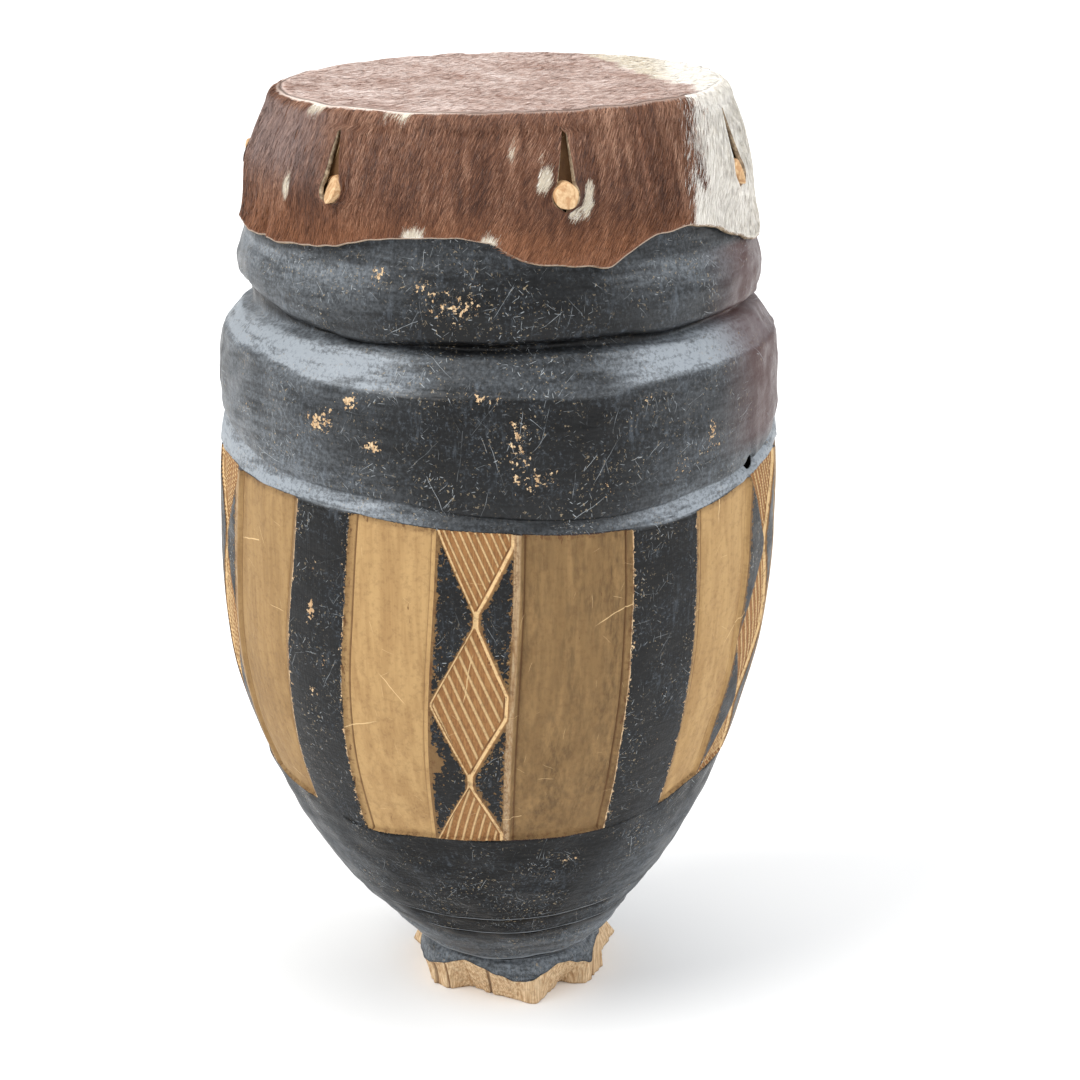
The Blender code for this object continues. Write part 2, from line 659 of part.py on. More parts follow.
def build_peg(index, place, material):
    """One whittled peg, tapered outward with a chamfered end."""
    azimuth, height, seat = place
    start = seat - PEG_DEPTH
    end = seat + FIT_GAP + HIDE + PEG_PROUD
    bm = bmesh.new()
    outline = circle_outline(PEG_RADIUS, PEG_SIDES)
    add_prism(bm, outline, start, end, azimuth, height, end_scale=PEG_TAPER)
    bm.faces.ensure_lookup_table()
    rim = list(bm.faces[-1].edges)
    bmesh.ops.bevel(bm, geom=rim, offset=PEG_BEVEL, segments=1, affect="EDGES")
    return finish_object(f"peg_{index}", bm, material)


def build_drum():
    """Build every piece of the drum."""
    clear_scene()
    build_shell(make_material(BLACK_WOOD))
    build_hide(make_material(HIDE_FINISH))
    peg_wood = make_material(PEG_FINISH)
    for index, place in enumerate(peg_places(), start=1):
        build_peg(index, place, peg_wood)


build_drum()
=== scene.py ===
"""Looks of a carved goblet drum: a blackened log body with cut-back panels, a hair-on hide head
and whittled pegs.

Azimuths are in degrees, nought towards -Y and growing towards +X. Heights are measured up from
the floor. Lengths are in metres unless a name or a note says millimetres.
"""
import logging
import math
from dataclasses import dataclass
from enum import Enum
from typing import Callable, Sequence

import bpy
import numpy as np
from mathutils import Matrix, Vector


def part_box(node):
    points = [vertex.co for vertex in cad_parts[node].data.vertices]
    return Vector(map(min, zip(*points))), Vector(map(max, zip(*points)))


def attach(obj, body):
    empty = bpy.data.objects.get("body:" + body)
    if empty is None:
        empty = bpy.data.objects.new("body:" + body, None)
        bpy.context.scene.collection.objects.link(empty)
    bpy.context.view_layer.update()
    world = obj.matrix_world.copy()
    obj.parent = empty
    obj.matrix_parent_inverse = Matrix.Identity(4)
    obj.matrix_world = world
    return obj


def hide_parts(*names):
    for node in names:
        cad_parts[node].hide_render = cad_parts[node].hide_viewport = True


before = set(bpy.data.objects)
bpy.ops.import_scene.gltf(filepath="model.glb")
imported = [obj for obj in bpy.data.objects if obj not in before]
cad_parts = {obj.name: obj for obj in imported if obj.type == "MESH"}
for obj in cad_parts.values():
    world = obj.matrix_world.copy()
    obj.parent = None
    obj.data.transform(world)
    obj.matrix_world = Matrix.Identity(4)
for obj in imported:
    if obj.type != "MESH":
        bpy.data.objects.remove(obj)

LOG = logging.getLogger("drum")
BAKE_MAP = "OFBake"
MM = 0.001
DEGREE = math.radians(1)
Array = np.ndarray
Colour = tuple[float, float, float, float]


def srgb(red: int, green: int, blue: int) -> Colour:
    """A colour given from 0 to 255, as the linear values that a shader takes."""
    shares = (value / 255.0 for value in (red, green, blue))
    return (*(share / 12.92 if share <= 0.04045 else ((share + 0.055) / 1.055) ** 2.4
              for share in shares), 1.0)


def cubic(t: Array, start: Array, end: Array, leave: Array, reach: Array) -> Array:
    """A cubic between two values.

    Args:
        t: the share of the way, from nought to one.
        start, end: the values at its ends.
        leave, reach: its slopes there, for the whole way.

    Returns:
        The value at t.
    """
    return (start * (1 + 2 * t) * (1 - t) ** 2 + end * t * t * (3 - 2 * t)
            + leave * t * (1 - t) ** 2 + reach * t * t * (t - 1))


def smooth_curve(places: Sequence[float], values: Sequence[float]) -> Callable[[Array], Array]:
    """A curve through the given stations, cubic between them, that never overshoots them.

    Args:
        places: the stations, rising.
        values: the curve's value at each station.

    Returns:
        A function of place that works on whole arrays.
    """
    x = np.asarray(places, float)
    y = np.asarray(values, float)
    secant = np.diff(y) / np.diff(x)
    product = secant[:-1] * secant[1:]
    total = secant[:-1] + secant[1:]
    inner = np.where(product > 0, 2 * product / np.where(total == 0, 1, total), 0.0)
    slope = np.concatenate([[secant[0]], inner, [secant[-1]]])

    def curve(place: Array) -> Array:
        """The curve's value.

        Args:
            place: where it is wanted, held at the ends.

        Returns:
            The value at each place.
        """
        at = np.clip(np.asarray(place, float), x[0], x[-1])
        index = np.clip(np.searchsorted(x, at, side="right") - 1, 0, len(x) - 2)
        width = x[index + 1] - x[index]
        return cubic((at - x[index]) / width, y[index], y[index + 1], slope[index] * width,
                     slope[index + 1] * width)

    return curve


def around(pairs: Sequence[tuple[float, float]], unit: float = 1.0) -> Callable[[Array], Array]:
    """A closed function of azimuth through (azimuth, value) stations.

    Args:
        pairs: the stations.
        unit: what one unit of value is in metres.

    Returns:
        A function of azimuth in degrees that works on whole arrays.
    """
    ordered = sorted(pairs)
    turns = np.array([pair[0] for pair in ordered], float)
    values = np.array([pair[1] for pair in ordered], float) * unit
    turns = np.concatenate([turns - 720, turns - 360, turns, turns + 360, turns + 720])
    return smooth_curve(turns, np.tile(values, 5))


def fade(value: Array, low: float, high: float) -> Array:
    """A smooth step from nought at low to one at high."""
    t = np.clip((np.asarray(value, float) - low) / (high - low), 0.0, 1.0)
    return t * t * (3.0 - 2.0 * t)


def degrees_from(azimuth: Array, start: float) -> Array:
    """Degrees from start to an azimuth, between -180 and 180."""
    return (azimuth - start + 180) % 360 - 180


def turned(azimuth: Array, radius: Array, height: Array, shift: Array = 0.0) -> Array:
    """Points on circles about an upright axis.

    Args:
        azimuth, radius, height: where they lie, of any shapes that fit together.
        shift: how far the axis is slid along X.

    Returns:
        The points, with X, Y and Z last.
    """
    azimuth, radius, height, shift = np.broadcast_arrays(azimuth, radius, height, shift)
    angle = np.radians(azimuth)
    return np.stack([radius * np.sin(angle) + shift, -radius * np.cos(angle), height], axis=-1)


def unit_circle(azimuth: Array) -> Array:
    """Points on a level circle of radius one, on which noise closes on itself."""
    angle = np.radians(azimuth)
    return np.stack([np.cos(angle), np.sin(angle), angle * 0], axis=-1)


@dataclass(frozen=True)
class Lumps:
    """Soft random lumps: a sum of plane waves whose lengths lie round one size.

    The value at a point p is the sum of cos(k.p + phase), scaled to about -1 to 1.
    """

    size: float
    seed: int
    stretch: tuple[float, float, float] = (1.0, 1.0, 1.0)
    waves: int = 20

    def at(self, points: Array) -> Array:
        """Height of the lumps at points of any leading shape.

        Args:
            points: places of any leading shape.

        Returns:
            The lumps' height at each.
        """
        rng = np.random.default_rng(self.seed)
        direction = rng.normal(size=(3, self.waves))
        direction /= np.linalg.norm(direction, axis=0)
        length = self.size * rng.uniform(0.7, 1.5, self.waves)
        wave = direction * 2 * math.pi / length / np.array(self.stretch)[:, None]
        phase = rng.uniform(0, 2 * math.pi, self.waves)
        total = np.cos(points @ wave + phase).sum(axis=-1)
        return total / math.sqrt(self.waves / 2) / 1.6


@dataclass(frozen=True)
class HandLine:
    """A hand-cut line round the drum.

    Its height is mean - dip cos(azimuth - lowest), with less rise on the far side, plus a
    correction that passes through the stations measured on the front.
    """

    mean: float
    dip: float
    lowest: float
    stations: tuple[tuple[float, float], ...] = ()

    def plain(self, azimuth: Array) -> Array:
        """Height of the tilted circle alone."""
        swing = np.cos(np.radians(np.asarray(azimuth, float) - self.lowest))
        return self.mean - self.dip * np.where(swing > 0, swing, 0.35 * swing)

    def height(self, azimuth: Array) -> Array:
        """Height of the line at an azimuth.

        Args:
            azimuth: where it is wanted, in degrees.

        Returns:
            The line's height there.
        """
        if not self.stations:
            return self.plain(azimuth)
        fixes = [(turn, height * MM - float(self.plain(turn))) for turn, height in self.stations]
        fixes += [(turn, 0.0) for turn in (115.0, 180.0, 245.0)]
        return self.plain(azimuth) + around(fixes)(azimuth)


@dataclass
class Rows:
    """Closed rows of points with the values that a finish reads at each of them.

    All arrays are rows by columns. edges holds, in millimetres, how far a point lies inside
    the black skin, inside a carved figure and off an incised line. tones holds the shares of
    tan, brown and hatched wood. marks holds the hatch's phase, wear, and settled dust with
    painted sheen, paler on upward faces and towards the sides.
    """

    azimuth: Array
    radius: Array
    height: Array
    shift: Array
    black: Array
    figure: Array | float = 20.0
    line: Array | float = 20.0
    tones: tuple[Array | float, Array | float, Array | float] = (0.0, 0.0, 0.0)
    phase: Array | float = 0.0
    wear: Array | float = 0.0
    dust: Array | float = 0.0

    def points(self) -> Array:
        """Places of all points, rows by columns by three."""
        return turned(self.azimuth, self.radius, self.height, self.shift)

    def vector(self, first: Array, second: Array, third: Array) -> Array:
        """Three values packed for one attribute, each spread to the rows' shape."""
        shape = self.azimuth.shape
        return np.stack([np.broadcast_to(part, shape) for part in (first, second, third)], axis=-1)

    def fields(self) -> dict[str, Array]:
        """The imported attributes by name."""
        return {
            "edges": self.vector(self.black, self.figure, self.line),
            "tones": self.vector(*self.tones),
            "marks": self.vector(self.phase, self.wear, self.dust),
        }


def bridge(lower: Array, upper: Array, low_turn: Array, high_turn: Array) -> Array:
    """Triangles between two closed rows with different counts.

    The steps of both rows are sorted by azimuth, and each step makes one triangle with the
    point that the other row has reached.

    Args:
        lower, upper: vertex numbers of the two rows.
        low_turn, high_turn: their azimuths, rising from nearly the same start.

    Returns:
        The triangles, three vertex numbers each.
    """
    low, high = len(lower), len(upper)
    keys = np.concatenate([np.append(low_turn[1:], low_turn[0] + 360),
                           np.append(high_turn[1:], high_turn[0] + 360)])
    is_low = np.arange(low + high) < low
    order = np.argsort(keys, kind="stable")
    is_low = is_low[order]
    i = np.concatenate([[0], np.cumsum(is_low)[:-1]])
    j = np.concatenate([[0], np.cumsum(~is_low)[:-1]])
    here_low, next_low = lower[i % low], lower[(i + 1) % low]
    here_high, next_high = upper[j % high], upper[(j + 1) % high]
    third = np.where(is_low, next_low, next_high)
    return np.stack([here_low, third, here_high], axis=1)


def row_quads(first: Array, second: Array) -> Array:
    """Four-sided faces between two closed rows of the same count."""
    return np.stack([first, np.roll(first, -1), np.roll(second, -1), second], axis=1)


def make_mesh(name: str, points: Array, quads: Array, triangles: Array,
              fields: dict[str, Array] | None = None, uv: Array | None = None) -> bpy.types.Object:
    """Put computed arrays into a smooth-shaded mesh object.

    Args:
        name: the piece's name.
        points: N by 3 places.
        quads: four-sided faces as vertex numbers.
        triangles: three-sided faces as vertex numbers.
        fields: vector attributes, N by 3 each.
        uv: N by 2 map coordinates. A face that crosses the map's seam is unwrapped past it.

    Returns:
        The new object, linked to the scene.
    """
    mesh = bpy.data.meshes.new(name)
    corners = np.concatenate([quads.reshape(-1), triangles.reshape(-1)]).astype(np.int32)
    sizes = np.concatenate([np.full(len(quads), 4), np.full(len(triangles), 3)])
    starts = np.concatenate([[0], np.cumsum(sizes)[:-1]]).astype(np.int32)
    mesh.vertices.add(len(points))
    mesh.vertices.foreach_set("co", np.asarray(points, np.float32).reshape(-1))
    mesh.loops.add(len(corners))
    mesh.loops.foreach_set("vertex_index", corners)
    mesh.polygons.add(len(sizes))
    mesh.polygons.foreach_set("loop_start", starts)
    mesh.update(calc_edges=True)
    for label, values in (fields or {}).items():
        layer = mesh.attributes.new(label, "FLOAT_VECTOR", "POINT")
        layer.data.foreach_set("vector", np.asarray(values, np.float32).reshape(-1))
    if uv is not None:
        across = uv[corners, 0]
        span = float(uv[:, 0].max())
        face = np.repeat(np.arange(len(sizes)), sizes)
        high = np.zeros(len(sizes))
        np.maximum.at(high, face, across)
        across = np.where(high[face] - across > span / 2, across + span, across)
        flat = np.stack([across, uv[corners, 1]], axis=1).astype(np.float32)
        mesh.uv_layers.new(name=BAKE_MAP).data.foreach_set("uv", flat.reshape(-1))
    mesh.validate()
    mesh.shade_smooth()
    item = bpy.data.objects.new(name, mesh)
    bpy.context.collection.objects.link(item)
    return item


def ride(item: bpy.types.Object, slot: str, *nodes: str) -> bpy.types.Object:
    """Fix a finished piece to the drum.

    Args:
        item: the piece.
        slot: its material's slot; not used.
        nodes: the solids that it stands for.

    Returns:
        The piece.
    """
    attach(item, "root")
    if nodes:
        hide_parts(*nodes)
    triangles = sum(len(face.vertices) - 2 for face in item.data.polygons)
    LOG.info("%s: %d points, %d triangles", item.name, len(item.data.vertices), triangles)
    return item


Socket = bpy.types.NodeSocket
Value = Socket | float


class Net:
    """Short forms for adding nodes to one shader tree. A value is a socket or a plain number."""

    def __init__(self, tree: bpy.types.NodeTree) -> None:
        """Work on the given tree."""
        self.tree = tree

    def node(self, kind: str, **settings: object) -> bpy.types.Node:
        """A new node of a kind, with its properties by name."""
        made = self.tree.nodes.new(kind)
        for key, value in settings.items():
            setattr(made, key, value)
        return made

    def feed(self, target: Socket, value: object) -> None:
        """Give an input its value.

        Args:
            target: the input.
            value: a socket to link, a plain value to set, or None to leave it as it is.
        """
        if isinstance(value, bpy.types.NodeSocket):
            self.tree.links.new(value, target)
        elif value is not None:
            target.default_value = value

    def feed_all(self, made: bpy.types.Node, values: Sequence[object]) -> bpy.types.Node:
        """Give a node's inputs their values in order, and hand the node back."""
        for target, value in zip(made.inputs, values):
            self.feed(target, value)
        return made

    def math(self, operation: str, *values: Value, clamp: bool = False) -> Socket:
        """One arithmetic step, held between nought and one where clamp says so."""
        made = self.node("ShaderNodeMath", operation=operation, use_clamp=clamp)
        return self.feed_all(made, values).outputs[0]

    def times(self, first: Value, second: Value, clamp: bool = False) -> Socket:
        """The product of two values."""
        return self.math("MULTIPLY", first, second, clamp=clamp)

    def plus(self, first: Value, second: Value) -> Socket:
        """The sum of two values."""
        return self.math("ADD", first, second)

    def minus(self, first: Value, second: Value) -> Socket:
        """The first value less the second."""
        return self.math("SUBTRACT", first, second)

    def larger(self, first: Value, second: Value) -> Socket:
        """The larger of two values."""
        return self.math("MAXIMUM", first, second)


    def about_nought(self, noise: Socket, reach: float) -> Socket:
        """Noise moved to lie about nought, times a reach."""
        return self.times(self.minus(noise, 0.5), reach)

    def step(self, value: Value, low: Value, high: Value, start: float = 0.0,
             end: float = 1.0) -> Socket:
        """A smooth step of a value.

        Args:
            value: what is stepped.
            low, high: where the step begins and ends.
            start, end: what it gives before low and past high.

        Returns:
            The stepped value.
        """
        made = self.node("ShaderNodeMapRange", interpolation_type="SMOOTHSTEP")
        return self.feed_all(made, (value, low, high, start, end)).outputs[0]

    def mix(self, share: Value, first: object, second: object, blend: str = "MIX") -> Socket:
        """Two colours mixed.

        Args:
            share: how much of the second shows.
            first, second: the colours.
            blend: how they are mixed.

        Returns:
            The mixed colour.
        """
        made = self.node("ShaderNodeMix", data_type="RGBA", blend_type=blend)
        for index, value in ((0, share), (6, first), (7, second)):
            self.feed(made.inputs[index], value)
        return made.outputs[2]

    def lay(self, colour: object, tone: object, share: Value, strength: Value) -> Socket:
        """A tone laid over a colour by a share times a strength."""
        return self.mix(self.times(share, strength), colour, tone)

    def noise(self, place: Socket, scale: Value, detail: float = 2.0, rough: float = 0.5,
              twist: float = 0.0) -> Socket:
        """Soft noise.

        Args:
            place: where it is read.
            scale: its lumps in a metre.
            detail, rough: how many finer layers it has, and how strong they are.
            twist: how far it is bent by itself.

        Returns:
            The noise, about a half.
        """
        made = self.node("ShaderNodeTexNoise")
        for label, value in (("Vector", place), ("Scale", scale), ("Detail", detail),
                             ("Roughness", rough), ("Distortion", twist)):
            self.feed(made.inputs[label], value)
        return made.outputs["Fac"]

    def vector(self, operation: str, *values: object) -> Socket:
        """One step on vectors. It gives a vector, or a number for a distance."""
        made = self.feed_all(self.node("ShaderNodeVectorMath", operation=operation), values)
        return made.outputs["Value" if operation == "DISTANCE" else "Vector"]

    def stretch(self, place: Socket, scale: Sequence[float]) -> Socket:
        """A place scaled along each axis."""
        return self.vector("MULTIPLY", place, scale)

    def parts(self, vector: Socket) -> tuple[Socket, ...]:
        """The three values of a vector."""
        return tuple(self.feed_all(self.node("ShaderNodeSeparateXYZ"), (vector,)).outputs)

    def field(self, name: str) -> tuple[Socket, ...]:
        """The three values of a vector attribute."""
        return self.parts(self.node("ShaderNodeAttribute", attribute_name=name).outputs["Vector"])

    def place(self) -> Socket:
        """The point's own coordinates on the piece."""
        return self.node("ShaderNodeTexCoord").outputs["Object"]

    def unrolled(self, metres: float) -> Socket:
        """The piece's map coordinates, scaled to metres."""
        made = self.node("ShaderNodeUVMap", uv_map=BAKE_MAP)
        return self.stretch(made.outputs[0], (metres, metres, 1.0))

    def bump(self, height: Socket, distance: float, before: Socket | None = None) -> Socket:
        """A normal bent by a height.

        Args:
            height: the height, from nought to one.
            distance: how far one stands out, in metres.
            before: a normal that is bent already.

        Returns:
            The bent normal.
        """
        made = self.node("ShaderNodeBump")
        for label, value in (("Strength", 1.0), ("Distance", distance), ("Height", height),
                             ("Normal", before)):
            self.feed(made.inputs[label], value)
        return made.outputs[0]

    def dress(self, shader: bpy.types.Node, colour: object, rough: Value,
              shine: Value | None = None, normal: Socket | None = None) -> None:
        """Feed a material's shader.

        Args:
            shader: the Principled shader.
            colour, rough: its colour and roughness.
            shine, normal: its specular level and normal, where they are not the usual ones.
        """
        for label, value in (("Base Color", colour), ("Roughness", rough),
                             ("Specular IOR Level", shine), ("Normal", normal)):
            self.feed(shader.inputs[label], value)


def new_material(name: str) -> tuple[bpy.types.Material, Net, bpy.types.Node]:
    """A material with its net and its Principled shader.

    Args:
        name: the material's name.

    Returns:
        The material, its net and its shader.
    """
    material = bpy.data.materials.new(name)
    material.use_nodes = True
    shader = material.node_tree.nodes["Principled BSDF"]
    return material, Net(material.node_tree), shader


def new_group(name: str, inputs: Sequence[tuple[str, str, object]],
              outputs: Sequence[tuple[str, str]]) -> tuple[Net, bpy.types.Node, bpy.types.Node]:
    """An empty shader node group.

    Args:
        name: the group's name.
        inputs: name, socket type and default of each input.
        outputs: name and socket type of each output.

    Returns:
        Its net, the node that gives its inputs and the node that takes its outputs.
    """
    tree = bpy.data.node_groups.new(name, "ShaderNodeTree")
    for label, kind, default in inputs:
        made = tree.interface.new_socket(label, in_out="INPUT", socket_type=kind)
        if default is not None:
            made.default_value = default
    for label, kind in outputs:
        tree.interface.new_socket(label, in_out="OUTPUT", socket_type=kind)
    net = Net(tree)
    return net, net.node("NodeGroupInput"), net.node("NodeGroupOutput")


class Effect(Enum):
    """Shared surface effects, each a node group built once."""

    GRAIN = "wood grain"
    SCRATCHES = "fine scratches"
    FLECKS = "small flecks"

    def group(self) -> bpy.types.NodeTree:
        """The effect's node group, built on first use."""
        if self.value in bpy.data.node_groups:
            return bpy.data.node_groups[self.value]
        return {Effect.GRAIN: grain_group, Effect.SCRATCHES: scratch_group,
                Effect.FLECKS: fleck_group}[self]()

    def add(self, net: Net, **values: object) -> bpy.types.Node:
        """Place the effect in a material with its own values.

        Args:
            net: the material's net.
            values: the group's inputs by name.

        Returns:
            The group's node.
        """
        made = net.node("ShaderNodeGroup", node_tree=self.group())
        for label, value in values.items():
            net.feed(made.inputs[label.capitalize()], value)
        return made


def grain_group() -> bpy.types.NodeTree:
    """Fibres that run up the wood: noise in space, drawn out along the height.

    Returns:
        The group. Fibre is the fine streak and Band the broad slow change of tone.
    """
    net, given, taken = new_group(
        Effect.GRAIN.value,
        [("Place", "NodeSocketVector", None), ("Fineness", "NodeSocketFloat", 700.0)],
        [("Fibre", "NodeSocketFloat"), ("Band", "NodeSocketFloat")])
    place, fineness = given.outputs["Place"], given.outputs["Fineness"]
    fibre = net.noise(net.stretch(place, (1.0, 1.0, 0.035)), fineness, 4.0, 0.62, 0.05)
    band = net.noise(net.stretch(place, (1.0, 1.0, 0.12)), net.times(fineness, 0.14), 3.0, 0.55, 0.3)
    net.feed(taken.inputs["Fibre"], fibre)
    net.feed(taken.inputs["Band"], band)
    return net.tree


def scratch_group() -> bpy.types.NodeTree:
    """Single short scratches in all directions.

    The flat map is split into cells. Each cell turns by its own chance angle and holds one
    thin line through its middle.

    Returns:
        The group. Amount is the share of cells that keep their line, Cells is their number
        in a metre, and Length and Width are half sizes in metres.
    """
    net, given, taken = new_group(
        Effect.SCRATCHES.value,
        [("Place", "NodeSocketVector", None), ("Cells", "NodeSocketFloat", 120.0),
         ("Length", "NodeSocketFloat", 0.004), ("Width", "NodeSocketFloat", 0.0001),
         ("Amount", "NodeSocketFloat", 0.5)],
        [("Mask", "NodeSocketFloat")])
    place = given.outputs["Place"]
    wander = net.node("ShaderNodeTexNoise")
    net.feed(wander.inputs["Vector"], place)
    net.feed(wander.inputs["Scale"], 55.0)
    bent = net.vector("MULTIPLY_ADD", wander.outputs["Color"], (0.004, 0.004, 0.0), place)
    cells = net.node("ShaderNodeTexVoronoi", voronoi_dimensions="2D")
    net.feed(cells.inputs["Vector"], bent)
    net.feed(cells.inputs["Scale"], given.outputs["Cells"])
    local = net.vector("SUBTRACT", bent, cells.outputs["Position"])
    split = net.feed_all(net.node("ShaderNodeSeparateColor"), (cells.outputs["Color"],))
    angle, share, lot = tuple(split.outputs)[:3]
    spun = net.node("ShaderNodeVectorRotate", rotation_type="Z_AXIS")
    net.feed(spun.inputs["Vector"], local)
    net.feed(spun.inputs["Angle"], net.times(angle, 6.283))
    along, across = (net.math("ABSOLUTE", part) for part in net.parts(spun.outputs[0])[:2])
    width = net.times(given.outputs["Width"], net.plus(share, 0.4))
    thin = net.step(across, net.times(width, 0.4), width, 1.0, 0.0)
    length = net.times(given.outputs["Length"], net.plus(share, 0.3))
    ended = net.step(along, net.times(length, 0.5), length, 1.0, 0.0)
    kept = net.math("LESS_THAN", lot, given.outputs["Amount"])
    net.feed(taken.inputs["Mask"], net.times(net.times(thin, ended), kept))
    return net.tree


def fleck_group() -> bpy.types.NodeTree:
    """Small ragged spots where fine noise rises over a limit.

    Returns:
        The group. The limit falls as Amount grows, and Size is the spots' number in a metre.
    """
    net, given, taken = new_group(
        Effect.FLECKS.value,
        [("Place", "NodeSocketVector", None), ("Size", "NodeSocketFloat", 300.0),
         ("Amount", "NodeSocketFloat", 0.0)],
        [("Mask", "NodeSocketFloat")])
    fine = net.noise(given.outputs["Place"], given.outputs["Size"], 4.0, 0.65)
    limit = net.minus(0.80, net.times(given.outputs["Amount"], 0.30))
    net.feed(taken.inputs["Mask"], net.step(fine, limit, net.plus(limit, 0.025)))
    return net.tree


@dataclass(frozen=True)
class CarvedWoodFinish:
    """The body's wood: blackened skin, cut-back panels, hatched figures and the raw break."""

    name: str = "blackened_carved_wood"
    map_metres: float = 1.38
    black: Colour = srgb(7, 7, 8)
    haze: Colour = srgb(30, 34, 39)
    haze_light: Colour = srgb(80, 87, 95)
    # Settled dust, also laid as painted sheen and as the painted highlight on the scored lines' lips.
    dust: Colour = srgb(148, 155, 162)
    scratch: Colour = srgb(170, 176, 180)
    chip_grey: Colour = srgb(156, 140, 114)
    red_cast: Colour = srgb(84, 54, 50)
    raw: Colour = srgb(230, 204, 166)
    raw_dark: Colour = srgb(176, 138, 98)
    tan: Colour = srgb(192, 158, 108)
    tan_dark: Colour = srgb(160, 126, 82)
    brown: Colour = srgb(116, 90, 56)
    brown_dark: Colour = srgb(60, 43, 25)
    hatch: Colour = srgb(160, 116, 70)
    hatch_deep: Colour = srgb(132, 90, 52)
    ridge: Colour = srgb(226, 194, 144)
    line: Colour = srgb(92, 60, 34)
    # Painted shade: the scored lines' near-black colour.
    score_shade: Colour = srgb(4, 4, 5)
    # Painted shade: the chipped notch's near-black colour.
    notch_shade: Colour = srgb(4, 3, 3)
    notch_place: tuple[float, float, float] = (0.1371, -0.0744, 0.3483)
    notch_reach: tuple[float, float] = (0.0072, 0.0062)
    # Nicks in the pale wood: cells in a metre, half length, half width, amount and strength.
    nicks: tuple[tuple[float, ...], ...] = (
        (90.0, 0.0040, 0.00014, 0.22, 0.45), (26.0, 0.016, 0.00034, 0.30, 0.80))
    # Scratches in the black: move on the map, then the same but for the strength.
    scratches: tuple[tuple[float, ...], ...] = (
        (0.0, 240.0, 0.0026, 0.00011, 0.24), (0.31, 105.0, 0.0060, 0.00012, 0.34),
        (0.57, 45.0, 0.0150, 0.00014, 0.50), (0.83, 340.0, 0.0012, 0.00020, 0.24))

    def build(self) -> bpy.types.Material:
        """Make the material.

        Returns:
            A material that reads the body's edges, tones and marks.
        """
        material, net, shader = new_material(self.name)
        place, flat = net.place(), net.unrolled(self.map_metres)
        black_in, figure, line = net.field("edges")
        tones = net.field("tones")
        phase, wear, dust = net.field("marks")
        grain = Effect.GRAIN.add(net, place=place, fineness=1000.0)
        fibre, band = grain.outputs["Fibre"], grain.outputs["Band"]
        black = self.black_mask(net, place, black_in, wear)
        pale, ridge = self.pale_wood(net, place, flat, tones, (figure, line, phase, black_in),
                                     fibre, band)
        dark, dull = self.black_wood(net, place, flat, tones[1], dust, phase)
        rough_black = net.step(net.noise(place, 60.0, 4.0, 0.6), 0.3, 0.7, 0.32, 0.54)
        rough_pale = net.plus(0.58, net.times(fibre, 0.22))
        rough = net.node("ShaderNodeMix")
        for target, value in zip((0, 2, 3), (black, rough_pale, rough_black)):
            net.feed(rough.inputs[target], value)
        net.dress(shader, net.mix(black, pale, dark), rough.outputs[0],
                  net.times(0.26, net.minus(1.0, net.times(dull, black))),
                  self.relief(net, place, black, ridge, fibre))
        return material

    def black_mask(self, net: Net, place: Socket, black_in: Socket, wear: Socket) -> Socket:
        """The black skin, with frayed edges and small chips knocked out of it.

        Args:
            net: the material's net.
            place: the point's coordinates.
            black_in: millimetres inside the skin.
            wear: how worn it is.

        Returns:
            One on the skin and nought off it.
        """
        frayed = net.plus(black_in, net.about_nought(net.noise(place, 190.0, 5.0, 0.75), 3.4))
        chips = Effect.FLECKS.add(net, place=place, size=380.0, amount=wear).outputs["Mask"]
        return net.times(net.step(frayed, -0.15, 0.15), net.minus(1.0, chips))

    def pale_wood(self, net: Net, place: Socket, flat: Socket, tones: tuple[Socket, ...],
                  carving: tuple[Socket, ...], fibre: Socket, band: Socket) -> tuple[Socket, Socket]:
        """The cut-back wood.

        Args:
            net: the material's net.
            place, flat: the point's coordinates in space and on the map.
            tones: the shares of tan, brown and hatched wood.
            carving: millimetres inside a figure and off a groove, the hatch's phase, and
                millimetres inside the black skin.
            fibre, band: the grain's fine and broad streaks.

        Returns:
            Its colour, and the height of the hatch's ridges.
        """
        tan, brown, hatch = tones
        figure, line, phase, black_in = carving
        upright = net.stretch(place, (1.0, 1.0, 0.22))
        streak = net.step(fibre, 0.32, 0.68)
        stain = net.step(net.noise(upright, 400.0, 5.0, 0.72), 0.38, 0.66)
        near = net.step(net.math("ABSOLUTE", black_in), 4.5, 0.3)
        raw = net.mix(streak, self.raw_dark, self.raw)
        tans = net.lay(self.tan_dark, self.tan, net.step(band, 0.35, 0.65), 0.6)
        tans = net.lay(tans, self.tan, streak, 0.25)
        tans = net.lay(tans, self.brown, near, 0.55)
        broad = net.step(net.noise(upright, 55.0, 3.0, 0.6), 0.35, 0.65, 0.30, 1.0)
        browns = net.lay(self.brown, self.brown_dark, stain, broad)
        browns = net.lay(browns, self.tan_dark, net.step(band, 0.45, 0.75), 0.35)
        wave = net.math("ABSOLUTE", net.minus(net.math("FRACT", phase), 0.5))
        ridge = net.times(net.step(wave, 0.27, 0.43), net.step(figure, 2.9, 3.4))
        hatched = net.lay(net.mix(streak, self.hatch, self.hatch_deep), self.ridge, ridge, 0.66)
        bevel = net.times(net.step(figure, 0.3, 0.8), net.step(figure, 2.4, 2.0))
        hatched = net.lay(hatched, self.ridge, bevel, 0.8)
        hatched = net.lay(hatched, self.brown, net.step(figure, 0.5, -0.3), 0.9)
        colour = raw
        for share, wood in ((tan, tans), (brown, browns), (hatch, hatched)):
            colour = net.mix(share, colour, wood)
        colour = net.lay(colour, self.line, net.step(line, 0.75, 0.2), 0.72)
        for cells, length, width, amount, strength in self.nicks:
            nicks = Effect.SCRATCHES.add(net, place=flat, cells=cells, length=length, width=width,
                                         amount=amount).outputs["Mask"]
            colour = net.lay(colour, self.ridge, nicks, strength)
        grime = net.step(net.noise(place, 300.0, 4.0, 0.7), 0.46, 0.68)
        colour = net.lay(colour, self.line, grime, net.plus(0.24, net.times(near, 0.50)))
